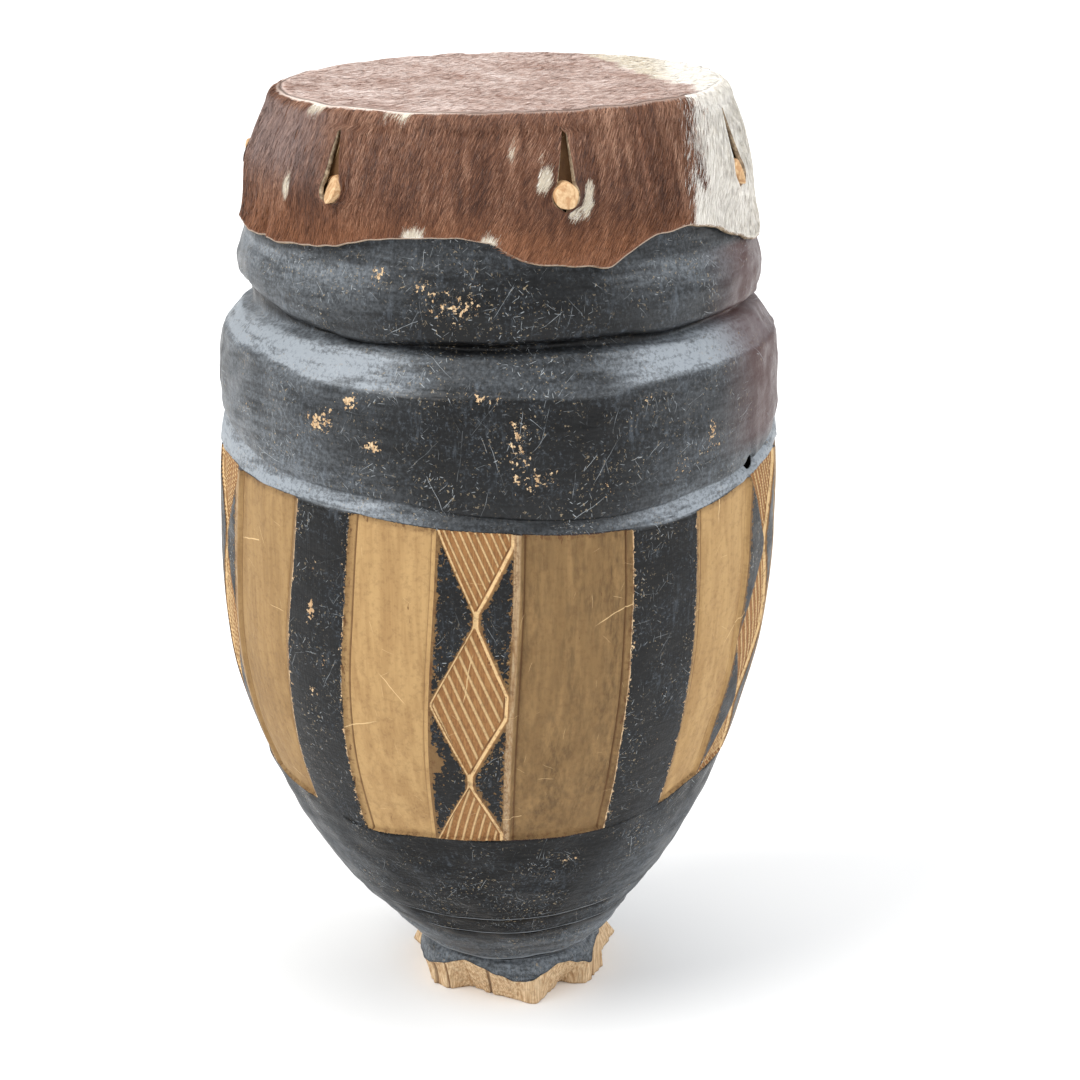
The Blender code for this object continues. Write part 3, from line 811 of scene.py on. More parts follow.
        soot = Effect.FLECKS.add(net, place=upright, size=330.0,
                                 amount=net.plus(0.30, net.times(near, 0.35)))
        return net.lay(colour, self.line, soot.outputs["Mask"], 0.75), ridge

    def black_wood(self, net: Net, place: Socket, flat: Socket, cast: Socket,
                   dust: Socket, phase: Socket) -> tuple[Socket, Socket]:
        """The blackened skin, with its dust and painted sheen, and painted shade in the chipped notch.

        Args:
            net: the material's net.
            place, flat: the point's coordinates in space and on the map.
            cast: the share of the red-brown cast.
            dust: the share of settled dust and painted sheen.
            phase: the number of the scored line.

        Returns:
            Its colour, and how dull it is.
        """
        cloud = net.noise(place, 30.0, 7.0, 0.72)
        speckle = net.noise(place, 480.0, 5.0, 0.7)
        wiped = net.noise(net.stretch(place, (0.14, 0.14, 1.0)), 210.0, 4.0, 0.62)
        rubbed = net.noise(net.stretch(place, (1.0, 1.0, 0.2)), 260.0, 4.0, 0.65)
        colour = net.lay(self.black, self.haze, net.step(cloud, 0.46, 0.70), 0.40)
        colour = net.lay(colour, self.haze_light, net.step(speckle, 0.52, 0.68),
                         net.step(cloud, 0.42, 0.66, 0.02, 0.62))
        # Pale upright streaks, more where the dust and painted sheen lie.
        streaks = net.plus(net.step(cloud, 0.42, 0.62, 0.0, 0.4), net.times(dust, 0.9))
        upright = net.times(net.step(rubbed, 0.54, 0.70), streaks, clamp=True)
        colour = net.mix(upright, colour, self.haze_light)
        # Settled dust and painted sheen: the pale dust colour, strongest on upward faces and towards the
        # sides.
        dust_sheen_share = net.times(dust, net.step(wiped, 0.30, 0.64, 0.34, 1.0))
        dust_sheen_share = net.times(dust_sheen_share, net.step(speckle, 0.38, 0.60, 0.46, 1.0), clamp=True)
        colour = net.mix(dust_sheen_share, colour, self.dust)
        colour = net.lay(colour, self.red_cast, cast, 0.75)
        colour, dull = self.scored_lines(net, place, phase, colour)
        total = None
        for move, cells, length, width, amount in self.scratches:
            spot = net.vector("ADD", flat, (move, move, 0.0))
            mask = Effect.SCRATCHES.add(net, place=spot, cells=cells, length=length, width=width,
                                        amount=amount).outputs["Mask"]
            total = mask if total is None else net.larger(total, mask)
        faint = net.step(net.noise(place, 36.0, 4.0, 0.6), 0.42, 0.66, 0.04, 0.85)
        colour = net.lay(colour, self.scratch, total, faint)
        flecks = Effect.FLECKS.add(net, place=place, size=560.0, amount=0.60).outputs["Mask"]
        colour = net.lay(colour, self.chip_grey, flecks, faint)
        # Painted shade: the chipped notch at the foot of the lower ring is painted near black and loses
        # its shine.
        ragged = net.plus(net.vector("DISTANCE", place, self.notch_place), net.times(speckle, 0.002))
        notch_shade_mask = net.step(ragged, *self.notch_reach)
        return net.mix(notch_shade_mask, colour, self.notch_shade), net.larger(dull, notch_shade_mask)

    def scored_lines(self, net: Net, place: Socket, phase: Socket,
                     colour: Socket) -> tuple[Socket, Socket]:
        """Thin dark lines of painted shade at whole phases low on the bowl, with a band of painted
        shade under each and a painted highlight on a lip over each.

        Args:
            net: the material's net.
            place: the point's coordinates.
            phase: the number of the line, with the share of the way to the next.
            colour: the skin's colour.

        Returns:
            The colour, and how dull the skin is under the lines and low on the bowl.
        """
        height = net.parts(place)[2]
        low = net.step(height, 0.100, 0.092)
        wobbled = net.plus(phase, net.about_nought(net.noise(place, 60.0, 3.0), 0.05))
        off = net.minus(net.math("FRACT", net.plus(wobbled, 0.5)), 0.5)
        # Painted shade: a band under each line, mixed towards black.
        under = net.times(net.step(off, -0.46, -0.10), net.step(off, 0.03, 0.0))
        under = net.times(under, net.times(low, net.step(phase, 1.5, 2.2, 0.25, 0.8)))
        colour = net.mix(under, colour, self.black)
        # Painted highlight: the pale dust colour on a thin lip over each line.
        lip = net.times(net.step(off, 0.03, 0.05), net.step(off, 0.13, 0.06))
        colour = net.lay(colour, self.dust, lip, net.times(low, 0.55))
        # Painted shade: the line itself, laid in near black.
        score = net.times(net.step(net.math("ABSOLUTE", off), 0.055, 0.025), low)
        shade = net.larger(net.times(under, 1.1, clamp=True), score)
        shade = net.larger(shade, net.step(height, 0.17, 0.11, 0.0, 0.42))
        return net.lay(colour, self.score_shade, score, 0.9), shade

    def relief(self, net: Net, place: Socket, black: Socket, ridge: Socket, fibre: Socket) -> Socket:
        """The normal, bent by grain, tool strokes, the skin's thickness and the ridges.

        Args:
            net: the material's net.
            place: the point's coordinates.
            black, ridge, fibre: the skin, the hatch's ridges and the grain.

        Returns:
            The bent normal.
        """
        strokes = net.noise(net.stretch(place, (0.4, 0.4, 1.0)), 110.0, 3.0, 0.6)
        normal = None
        for height, distance in ((fibre, 0.00020), (strokes, 0.0011), (black, 0.00035),
                                 (ridge, 0.0006)):
            normal = net.bump(height, distance, normal)
        return normal


class PanelKind(Enum):
    """The four kinds of upright panel, in the order in which they follow round the drum."""

    LOZENGES = 0
    BROWN = 1
    BLACK = 2
    TAN = 3


@dataclass
class DrumBody:
    """The carved body as one closed surface.

    Its rows run from the floor up the outside, over the rim and down the hollow. The outside
    is a turned radius of height, less the cuts of panels, lines and grooves.
    """

    height: float
    neck_height: float = 0.0275
    neck_radius: float = 0.0525
    foot_shift: float = 0.0065
    raw_rows: int = 13
    # Radii in millimetres at which widths are measured round the belly, its wear and the foot.
    belly_arc: float = 165.0
    wear_arc: float = 155.0
    foot_arc: float = 52.0
    map_girth: float = 1.02
    groove_top: float = 0.470
    notch_turn: float = 61.5
    low_shift: float = -0.0025
    rim_round: float = 0.0070
    panel_rows: int = 90
    ring_columns: int = 330
    bowl_columns: int = 250
    inner_columns: int = 72
    # Outer profile in millimetres: height and radius.
    profile: tuple[tuple[float, float], ...] = (
        (27.5, 52.5), (35, 60.0), (55, 77.2), (75, 93.4), (95, 107.6), (115, 119.8), (135, 129.6),
        (155, 138.0), (175, 145.6), (195, 151.9), (215, 157.2), (235, 161.0), (255, 163.3),
        (275, 164.6), (297, 165.3), (325, 165.3), (345, 164.4), (362, 162.0))
    edges_top: tuple[float, ...] = (
        -78.6, -62.6, -42.3, -29.5, -11.7, 4.3, 26.0, 41.2, 59.8, 76.0,
        97.0, 114.0, 134.0, 150.0, 172.0, 188.0, 208.0, 224.0, 246.0, 262.0)
    edges_foot: tuple[float, ...] = (
        -84.0, -70.0, -50.3, -34.5, -14.8, 3.5, 27.7, 44.0, 57.0, 74.0,
        97.0, 115.0, 135.0, 151.0, 172.0, 187.0, 206.0, 221.0, 243.0, 258.0)
    # Scored lines on the bowl: height in front, rise to the right and rise to both sides.
    scored: tuple[tuple[float, float, float], ...] = (
        (0.0298, 0.0030, 0.0110), (0.0585, 0.0005, 0.0120), (0.0725, 0.0015, 0.0120))
    lozenge_shares: tuple[float, ...] = (0.0, 0.258, 0.529, 0.784, 1.0)
    lozenge_widths: tuple[float, ...] = (1.0, 0.0, 1.0, 0.0, 0.95)
    panel_top: HandLine = HandLine(0.3465, 0.0160, 17.0, (
        (-61, 342.7), (-43, 340), (-30, 338), (-12, 334), (0, 332.5), (14, 330.2), (31.5, 330.2),
        (42, 333), (57.5, 340.2), (73, 347.4)))
    panel_foot: HandLine = HandLine(0.1600, 0.0200, -5.0, (
        (-50, 148.6), (-34, 138.6), (-15, 140.7), (4, 141.2), (27.7, 142.6), (44, 149.6),
        (56, 158)))
    lower_lip: HandLine = HandLine(0.3625, 0.0235, 15.0, (
        (-76.5, 365), (-64, 358.7), (-50, 352), (-35, 348.7), (-19, 346.0), (-11, 342.8),
        (0, 339.8), (18, 337.4), (32, 339.6), (45, 344.3), (58, 347.5), (76, 357.4)))
    ledge_outer: HandLine = HandLine(0.4135, 0.0070, 0.0, (
        (-63.5, 414.4), (-52, 413.4), (-40, 408.5), (-31, 407.5), (-19.5, 405.8), (0, 406.6),
        (21, 405.0), (28, 408.8), (35.5, 410.7), (51, 412.9), (65, 412.6)))
    ledge_inner: HandLine = HandLine(0.4265, 0.0025, 0.0, (
        (-25, 425.5), (-12, 424.8), (0, 424.4), (15, 426.0), (37, 425.4), (54.5, 428)))
    upper_lip: HandLine = HandLine(0.4360, 0.0040, 20.0, (
        (-72, 444), (-60, 440), (-49, 435), (-39, 432), (-30, 429), (-14, 431.5), (0, 432),
        (25, 434.2), (38, 432.9), (52, 435), (67, 435)))
    # Broken foot in millimetres: radius on the floor, and height where the black skin ends.
    foot_outline: tuple[tuple[float, float], ...] = (
        (-168, 57), (-150, 66), (-136, 61), (-124, 73), (-112, 58), (-100, 52), (-82, 50),
        (-67, 52.6), (-60, 54.5), (-53, 53), (-46, 51), (-43, 45), (-38, 40.4), (-29.5, 39.6),
        (-15, 44.2), (-5, 45.6), (3, 49.5), (10, 54.3), (15.6, 58.1), (23, 52.3), (32, 47),
        (42, 42.5), (52, 40.1), (55, 50), (59, 54), (66.6, 55.5), (76, 55.5), (85, 58), (95, 59),
        (109, 63), (114, 68), (120, 75), (126, 84), (132, 70), (140, 62), (146, 67), (162, 59),
        (178, 62))
    foot_edge: tuple[tuple[float, float], ...] = (
        (-180, 19), (-150, 16), (-120, 22), (-95, 18), (-76, 15), (-64, 13.8), (-57, 16),
        (-44, 20), (-30, 24), (-21, 23), (-12, 20), (-4, 18), (4, 15), (10, 14.5), (19, 17),
        (29, 21), (34, 22), (41, 21.5), (48, 19), (56, 17), (64, 14), (72.5, 20.5), (83, 23),
        (98, 20), (112, 19), (124, 22), (145, 16))
    # Upright splits in the foot: azimuth and depth in millimetres.
    foot_splits: tuple[tuple[float, float], ...] = (
        (-58, 2.2), (-47, 2.0), (-34, 1.4), (-15, 2.5), (6, 0.8), (30, 1.0), (44, 1.2), (57, 1.4),
        (71, 2.6), (90, 1.6), (140, 1.5), (170, 1.6), (200, 1.6), (230, 1.6), (255, 1.2))
    # Worn places: azimuth, height, half width and half height in millimetres, strength.
    worn: tuple[tuple[float, float, float, float, float], ...] = (
        (3.5, 383, 6, 20, 0.9), (8, 362, 14, 8, 0.75), (-36.5, 387, 9, 7, 1.2), (-29.6, 399, 6, 5, 1.2),
        (-24.7, 377, 6, 5, 1.15), (-4, 405, 14, 4, 0.8), (-26, 467, 7, 6, 0.95), (-8, 453, 20, 12, 0.74),
        (-16, 462, 7, 6, 0.7), (38, 358, 8, 5, 0.8), (46, 376, 5, 10, 0.55), (-12.6, 196, 5, 9, 1.2),
        (22, 352, 16, 5, 0.6), (-44, 376, 10, 12, 0.5), (30, 400, 10, 8, 0.5), (-50, 424, 12, 8, 0.4),
        (20, 122, 6, 5, 0.8), (15, 112, 4, 4, 0.7), (-39, 278, 3.5, 9, 1.3), (-40, 228, 6, 4, 0.9),
        (-38, 303, 3, 4, 0.9), (-36, 250, 2.5, 7, 0.8), (-32, 200, 3, 9, 0.7), (37, 200, 3, 8, 0.7),
        (48, 372, 10, 12, 0.5), (-60, 380, 8, 14, 0.4), (62, 420, 8, 10, 0.45), (34, 240, 7, 30, 0.3),
        (150, 390, 14, 12, 0.7), (205, 380, 10, 20, 0.7), (250, 450, 12, 8, 0.6), (120, 110, 9, 9, 0.6))

    def __post_init__(self) -> None:
        """Set up the curves that the rows share."""
        self.bowl_radius = smooth_curve(*([value * MM for value in part]
                                          for part in zip(*self.profile)))
        self.axis_shift = smooth_curve([self.neck_height, 0.0855, 0.190, 0.297],
                                       [self.foot_shift, 0.0, self.low_shift, 0.0])
        ring_top, rim = self.groove_top, self.height - self.rim_round
        shares = (0.0, 0.166, 0.483, 0.759, 1.0)
        self.shoulder = smooth_curve(
            [ring_top + share * (rim - ring_top) for share in shares] + [self.height],
            [0.1467, 0.1441, 0.1424, 0.1367, 0.1296, 0.1262])

    def rows_at(self, azimuth: Array, height: Array, radius: Array, **values: Array) -> Rows:
        """Rows at given heights and radii, broadcast to one shape.

        Args:
            azimuth, height, radius: the places, of shapes that fit together.
            values: what the finish reads there.

        Returns:
            The rows.
        """
        azimuth, height, radius = np.broadcast_arrays(azimuth, height, radius)
        return Rows(azimuth, radius, height, self.axis_shift(height), **values)

    def wear_at(self, azimuth: Array, height: Array) -> Array:
        """How worn a place is: the sum of soft ellipses round the worn places."""
        total = np.zeros(np.broadcast(azimuth, height).shape)
        for turn, middle, wide, tall, strength in self.worn:
            across = degrees_from(azimuth, turn) * DEGREE * self.wear_arc
            up = height / MM - middle
            total = total + strength * np.exp(-(across / wide) ** 2 - (up / tall) ** 2)
        return np.clip(total, 0.0, 1.2)

    def stripe_depth(self, azimuth: Array, edges: Sequence[float]) -> Array:
        """How far inside a black stripe an azimuth lies, in millimetres on the belly."""
        depth = np.full(np.shape(azimuth), -99.0)
        for index in range(PanelKind.BLACK.value, len(edges), len(PanelKind)):
            turn = degrees_from(azimuth, edges[index])
            depth = np.maximum(depth, np.minimum(turn, edges[index + 1] - edges[index] - turn))
        return depth * DEGREE * self.belly_arc

    def foot_zone(self) -> Rows:
        """The broken foot: raw upright faces up to the ragged end of the black skin.

        The raw face runs straight from the floor outline to the skin's edge, with upright
        scallops, splits and fibres; the skin then slopes in to the neck.

        Returns:
            Its rows, from the floor up.
        """
        azimuth = self.edges_foot[0] + np.arange(self.ring_columns) * 360.0 / self.ring_columns
        base = around(self.foot_outline, MM)(azimuth)
        round_foot = unit_circle(azimuth) * 0.055
        edge = around(self.foot_edge, MM)(azimuth) + 0.0005 * Lumps(0.009, 5).at(round_foot)
        skin = self.neck_radius + 0.28 * (self.neck_height - edge)
        top = np.maximum(skin, skin + 0.45 * (base - skin))
        scallop = 0.0012 * np.abs(Lumps(0.014, 8).at(round_foot))
        scallop = scallop + 0.0004 * Lumps(0.004, 9).at(round_foot)
        split = np.full(azimuth.shape, 20.0)
        for turn, depth in self.foot_splits:
            away = degrees_from(azimuth, turn)
            scallop = scallop + depth * MM * np.exp(-(away / 1.3) ** 2)
            close = np.abs(away) * DEGREE * self.foot_arc
            split = np.minimum(split, 0.55 * close + 1.1 - 0.5 * depth)
        t = np.linspace(0.0, 1.0, self.raw_rows)[:, None]
        bite = np.sin(math.pi * np.clip(t * 0.7 + 0.3, 0, 1)) ** 0.5
        raw_radius = base + (top - base) * t - scallop * bite
        s = np.linspace(0.0, 1.0, 9)[:, None]
        ease = s ** 0.8
        skin_radius = top * (1 - ease) + self.neck_radius * ease - 0.0016 * fade(s, 0.72, 1.0)
        height = np.concatenate([edge * t, edge + (self.neck_height - edge) * s])
        raw = np.arange(len(height))[:, None] < self.raw_rows
        black = (height - edge) / MM + np.where(raw, -1.6, 2.0)
        rows = self.rows_at(azimuth[None, :], height, np.concatenate([raw_radius, skin_radius]),
                            black=black, line=split, wear=0.05,
                            dust=0.62 * fade(black, 1.0, 3.0), phase=0.6)
        rows.shift = np.full(rows.azimuth.shape, self.foot_shift)
        return rows

    def bowl_zone(self) -> Rows:
        """The black bowl from the neck to the panels.

        Each scored line is a soft step: the wood above it stands proud and the wood below it
        is cut back, both dying away. Shallow tool facets ripple the surface.

        Returns:
            Its rows, from the neck up.
        """
        azimuth = self.edges_foot[0] + np.arange(self.bowl_columns) * 360.0 / self.bowl_columns
        top = self.panel_foot.height(azimuth)
        t = np.linspace(0.012, 0.992, 66)[:, None] ** 1.15
        height = self.neck_height + (top - self.neck_height) * t
        radius = self.bowl_radius(height)
        swing = np.sin(np.radians(azimuth))
        bow = 1.0 - np.maximum(np.cos(np.radians(azimuth)), 0.0)
        low, middle, high = (at + tilt * swing + rise * bow for at, tilt, rise in self.scored)
        phase = np.where(height < middle, 1 + (height - low) / (middle - low),
                         2 + (height - middle) / (high - middle))
        phase = np.clip(phase, 0.6, 3.4)
        # Dust with painted sheen: towards the sides on the lower bowl, and all round near the neck.
        dust = 0.34 * fade(np.abs(azimuth + 4), 22, 60) * fade(-height, -0.16, -0.10)
        dust = dust + 0.34 * fade(-height, -0.062, -0.046)
        for line, depth in ((low, 0.0016), (middle, 0.0012), (high, 0.0014)):
            off = (height - line) / 0.0013
            radius = radius + depth * off / np.sqrt(1 + off ** 2) * np.exp(-np.abs(off) / 5.0)
        points = turned(azimuth, radius, height)
        radius = radius + 0.0005 * Lumps(0.034, 21, (1, 1, 0.6)).at(points)
        low_share = fade(-height, -0.075, -0.05)
        radius = radius + 0.0004 * Lumps(0.016, 22, (1, 1, 0.4)).at(points) * low_share
        radius = radius + 0.00022 * Lumps(0.012, 22, (1, 1, 2.5)).at(points)
        black = np.maximum((top - height) / MM, self.stripe_depth(azimuth, self.edges_foot))
        wear = self.wear_at(azimuth, height) + 0.20 * fade(height, 0.07, 0.09)
        return self.rows_at(azimuth[None, :], height, radius, black=black, wear=wear, dust=dust,
                            phase=phase)

    def panel_columns(self) -> tuple[Array, Array, Array]:
        """The panel zone's columns.

        Returns:
            The panel's number, its kind and the share across it, for every column. A panel's
            columns crowd at its borders, and a lozenge column is even and close.
        """
        borders = {
            PanelKind.BROWN: ((0, 0.7, 1.3, 1.9, 2.6, 3.6), (6.0, 5.0, 4.2, 3.5, 2.8, 1.4, 0.3)),
            PanelKind.BLACK: ((0, 0.8, 1.8), (1.6, 0.6)),
            PanelKind.TAN: ((0, 0.6, 2.2, 3.6, 4.2, 4.8, 5.8), (4.4, 3.6, 3.0, 2.4, 0.8, 0.15)),
        }
        numbers, kinds, shares = [], [], []
        closed = self.edges_top + (self.edges_top[0] + 360,)
        for index in range(len(self.edges_top)):
            kind = PanelKind(index % len(PanelKind))
            width = math.radians(closed[index + 1] - closed[index]) * self.belly_arc
            if kind is PanelKind.LOZENGES:
                across = np.arange(40) / 40.0
            else:
                left, right = borders[kind]
                start, end = left[-1], width - right[0]
                count = max(2, round((end - start) / 3.4))
                fill = np.linspace(start, end, count + 1)[1:-1]
                across = np.concatenate([left, fill, width - np.array(right)]) / width
            numbers.append(np.full(len(across), index))
            kinds.append(np.full(len(across), kind.value))
            shares.append(across)
        return np.concatenate(numbers), np.concatenate(kinds), np.concatenate(shares)

    def panel_zone(self) -> Rows:
        """The carved panels, from their foot to their top.

        A place is given by the share down the zone and its distance in millimetres from its
        panel's left and right edge. Cuts are piecewise straight in those distances, and in
        the signed distance to the lozenges' zigzag.

        Returns:
            Its rows, from the foot up.
        """
        number, kind, across = self.panel_columns()
        rows = self.panel_rows
        share = np.concatenate([[1.0, 0.9935, 0.987], np.linspace(0.978, 0.0, rows - 3)])[:, None]
        top = np.array(self.edges_top + (self.edges_top[0] + 360,))
        foot = np.array(self.edges_foot + (self.edges_foot[0] + 360,))
        edge = top + (foot - top) * share
        left, right = edge[:, number], edge[:, number + 1]
        azimuth = left + (right - left) * across
        high, low = self.panel_top.height(azimuth), self.panel_foot.height(azimuth)
        height = high + (low - high) * share
        skin = self.bowl_radius(height)
        width = np.radians(right - left) * skin / MM
        from_left, from_right = width * across, width * (1 - across)
        fall = (high - low) / MM
        down, up = share * fall, (1 - share) * fall
        figure, phase = self.lozenges(share, from_left, from_right, width, fall, number)
        cut = self.cut_depth(kind, from_left, from_right, figure, phase)
        cut = cut * fade(up, -0.1, 1.3)
        points = turned(azimuth, skin, height)
        lozenge, is_brown, is_black, is_tan = (kind == option.value for option in PanelKind)
        cut = cut + (is_brown | is_tan) * 0.16 * Lumps(0.018, 31, (1, 1, 3)).at(points)
        radius = skin - cut * MM + 0.00030 * Lumps(0.040, 32, (1, 1, 1.5)).at(points)
        side = np.where(is_tan, from_left, from_right)
        triangle = np.minimum(-figure - 0.7, np.minimum(from_left - 1.3, from_right - 4.3))
        black = np.select(
            [is_black, lozenge],
            [np.minimum(from_left, from_right) - 0.4, np.maximum(triangle, -np.minimum(up, down))],
            -np.minimum(side, np.minimum(up, down)))
        strip = lozenge & (from_right < 3.6)
        pale_brown = is_brown * np.where(number == 1, 0.62, 0.10 * (number % 3))
        tones = (is_tan + 1.0 * is_brown, is_brown - pale_brown + 0.45 * strip,
                 lozenge * 1.0 - 0.8 * strip)
        line = np.select(
            [is_tan, is_brown, lozenge],
            [np.minimum(np.abs(from_left - 4.2), np.abs(from_right - 3.0) + 0.3),
             np.minimum(np.abs(from_left - 1.9), np.abs(from_right - 3.5)),
             np.abs(figure - 2.7)], 20.0)
        wear = self.wear_at(azimuth, height) + 0.76 * np.exp(-np.abs(black) / 2.4) + 0.16
        wear = wear + 0.28 * lozenge
        figure = np.where(lozenge, figure, -5.0)
        return self.rows_at(azimuth, height, radius, black=black, figure=figure, line=line,
                            tones=tones, phase=phase, wear=wear, dust=0.0)

    def lozenges(self, share: Array, from_left: Array, from_right: Array, width: Array,
                 fall: Array, number: Array) -> tuple[Array, Array]:
        """Signed distance into the pale lozenges, in millimetres, and the hatch's phase.

        The figure's half width is a zigzag of the share down the panel; the distance to it is
        measured square to its slanting edge. Hatch lines are straight slants: phase counts
        them as (across -+ slope * down) / pitch.

        Args:
            share: the share of the way down the panel.
            from_left, from_right: millimetres from its edges.
            width, fall: its width and height in millimetres.
            number: which panel it is.

        Returns:
            The distance and the phase.
        """
        across = from_left - width / 2
        half = np.interp(share, self.lozenge_shares, self.lozenge_widths) * width / 2
        slope = width / 2 / (0.258 * fall)
        distance = (np.maximum(half, 1.9) - np.abs(across)) / np.sqrt(1 + slope ** 2)
        distance = np.where(across < 0, distance * 2.2, distance)
        distance = np.minimum(distance, np.minimum(from_right - 3.5, from_left + 1.6))
        down = share * fall
        lower = share > self.lozenge_shares[3]
        middle = (share > self.lozenge_shares[1]) & ~lower
        pitch = np.where(lower, 4.6, np.where(middle, 5.7, 4.3))
        lean = np.where(lower, -1.0, 1.0)
        return distance, (across - lean * slope * down) / pitch + 0.13 * number

    def cut_depth(self, kind: Array, from_left: Array, from_right: Array, figure: Array,
                  phase: Array) -> Array:
        """How deep the wood is cut below the black skin, in millimetres.

        Args:
            kind: the panel's kind.
            from_left, from_right: millimetres from the panel's edges.
            figure, phase: millimetres inside a lozenge, and the hatch's phase.

        Returns:
            The depth.
        """
        tan = np.where(
            from_left < from_right,
            np.interp(from_left, (0, 0.6, 3.6, 4.2, 4.8, 6.5), (0.2, 0.9, 1.6, 2.8, 1.9, 2.0)),
            np.interp(from_right, (0, 0.15, 0.8, 2.4, 3.0, 3.6, 5), (0, 0.2, 2.0, 2.0, 2.4, 2.0, 2.0)))
        brown = np.where(
            from_left < from_right,
            np.interp(from_left, (0, 0.7, 1.3, 1.9, 2.6, 3.6), (0, 1.8, 2.2, 2.8, 2.1, 2.0)),
            np.interp(from_right, (0, 0.3, 2.8, 3.5, 4.2, 5), (0, 0.3, 1.3, 2.9, 2.1, 2.0)))
        wave = np.abs(phase - np.floor(phase) - 0.5)
        gouge = 0.75 * (1 - fade(wave, 0.28, 0.5)) * fade(figure, 2.8, 3.8)
        lozenge = np.interp(figure, (-0.2, 0, 2.2, 2.7, 3.4), (0, 0.15, 1.6, 2.5, 1.4)) + gouge
        ink = 0.25 * np.exp(-np.minimum(from_left, from_right) / 1.2)
        cuts = {PanelKind.TAN: tan, PanelKind.BROWN: brown, PanelKind.LOZENGES: lozenge}
        return np.select([kind == option.value for option in cuts], list(cuts.values()), ink)

    def ring_zone(self) -> Rows:
        """The chamfer over the panels, the two ring bands, the ledge and the groove.

        Control rows follow the hand-cut lines; the rows between them are a smooth curve
        through the controls, column by column.

        Returns:
            Its rows, from the panels up.
        """
        azimuth = self.edges_top[0] + np.arange(self.ring_columns) * 360.0 / self.ring_columns
        top = self.panel_top.height(azimuth)
        lip, outer = self.lower_lip.height(azimuth), self.ledge_outer.height(azimuth)
        lip = np.maximum(lip, top + 0.0045)
        inner, upper = self.ledge_inner.height(azimuth), self.upper_lip.height(azimuth)
        face, band = outer - lip, self.groove_top - upper
        # The third value of each control row is its dust with painted sheen, highest on the
        # upward-facing chamfer and ledge, where it is partly painted glare.
        controls = [
            (top + 0.0006, 0.1634, 1.4), (top + 0.55 * (lip - top), 0.1622, 1.3),
            (lip - 0.0012, 0.1606, 1.2), (lip + 0.0002, 0.1608, 0.5), (lip + 0.0016, 0.1619, 0.32),
            (lip + 0.16 * face, 0.1626, 0.22), (lip + 0.5 * face, 0.1628, 0.10),
            (lip + 0.8 * face, 0.1617, 0.12), (outer - 0.0016, 0.1603, 0.30),
            (outer + 0.0008, 0.1585, 1.35), (0.5 * (outer + inner), 0.1545, 1.6),
            (inner - 0.0010, 0.1505, 1.5), (inner + 0.0008, 0.1480, 1.1), (inner + 0.0030, 0.1432, 0.4),
            (0.5 * (inner + upper) + 0.001, 0.1426, 0.0), (upper - 0.0008, 0.1438, 0.0),
            (upper + 0.0004, 0.1474, 0.0), (upper + 0.0030, 0.1499, 0.08),
            (upper + 0.25 * band, 0.1511, 0.10), (upper + 0.48 * band, 0.1514, 0.15),
            (upper + 0.72 * band, 0.1496, 0.35), (self.groove_top - 0.0005, 0.1469, 0.5)]
        height, radius = (np.stack([np.broadcast_to(control[part], azimuth.shape)
                                    for control in controls]) for part in (0, 1))
        # Dust with painted sheen: little in front, more towards both sides, and more still on the left.
        side = 0.14 + 0.86 * fade(np.abs(azimuth - 4), 13, 34)
        dull = 0.28 * fade(-azimuth, 20, 58) + 0.10 * fade(azimuth, 18, 60)
        dust = np.stack([control[2] * side + dull * (control[2] > 0.05) for control in controls])
        height, radius, dust = (smooth_rows(part, 3) for part in (height, radius, dust))
        points = turned(azimuth, radius, height)
        radius = radius + 0.00045 * Lumps(0.030, 41, (1, 1, 0.8)).at(points)
        radius = radius + 0.00020 * Lumps(0.010, 42, (1, 1, 2.0)).at(points)
        radius = radius - 0.0006 * np.abs(Lumps(0.030, 43, (1, 1, 0.45)).at(points))
        across = degrees_from(azimuth, self.notch_turn) * DEGREE * 0.161
        up = height - CarvedWoodFinish.notch_place[2]
        radius = radius - 0.0050 * np.exp(-(across / 0.0036) ** 4 - (up / 0.0040) ** 4)
        black = np.maximum((height - top) / MM, self.stripe_depth(azimuth, self.edges_top)) + 0.8
        cast = fade(azimuth, 46, 68) * fade(-azimuth, -120, -95) * fade(height, 0.352, 0.366)
        wear = self.wear_at(azimuth, height) + 0.16 + 0.2 * np.exp(-np.abs(height - lip) / 0.004)
        return self.rows_at(azimuth[None, :], height, radius, black=black, tones=(0.0, cast, 0.0),
                            wear=wear, dust=dust)

    def shoulder_zone(self) -> Rows:
        """The wood under the hide, up to and over the rim. It is raw where the hide hides it."""
        azimuth = self.edges_top[0] + np.arange(120) * 3.0
        height = np.append(np.linspace(0.474, self.height - 0.002, 14), self.height)[:, None]
        radius = self.shoulder(height) - 0.0002
        radius[-1] -= 0.0028
        black = np.where(height > 0.499, -6.0, 9.0)
        return self.rows_at(azimuth[None, :], height * np.ones(120), radius, black=black, wear=0.1,
                            tones=(0.0, 1.0 * (height > 0.499), 0.0), line=0.0,
                            dust=0.2 * fade(-height, -0.50, -0.48) * np.ones(120))

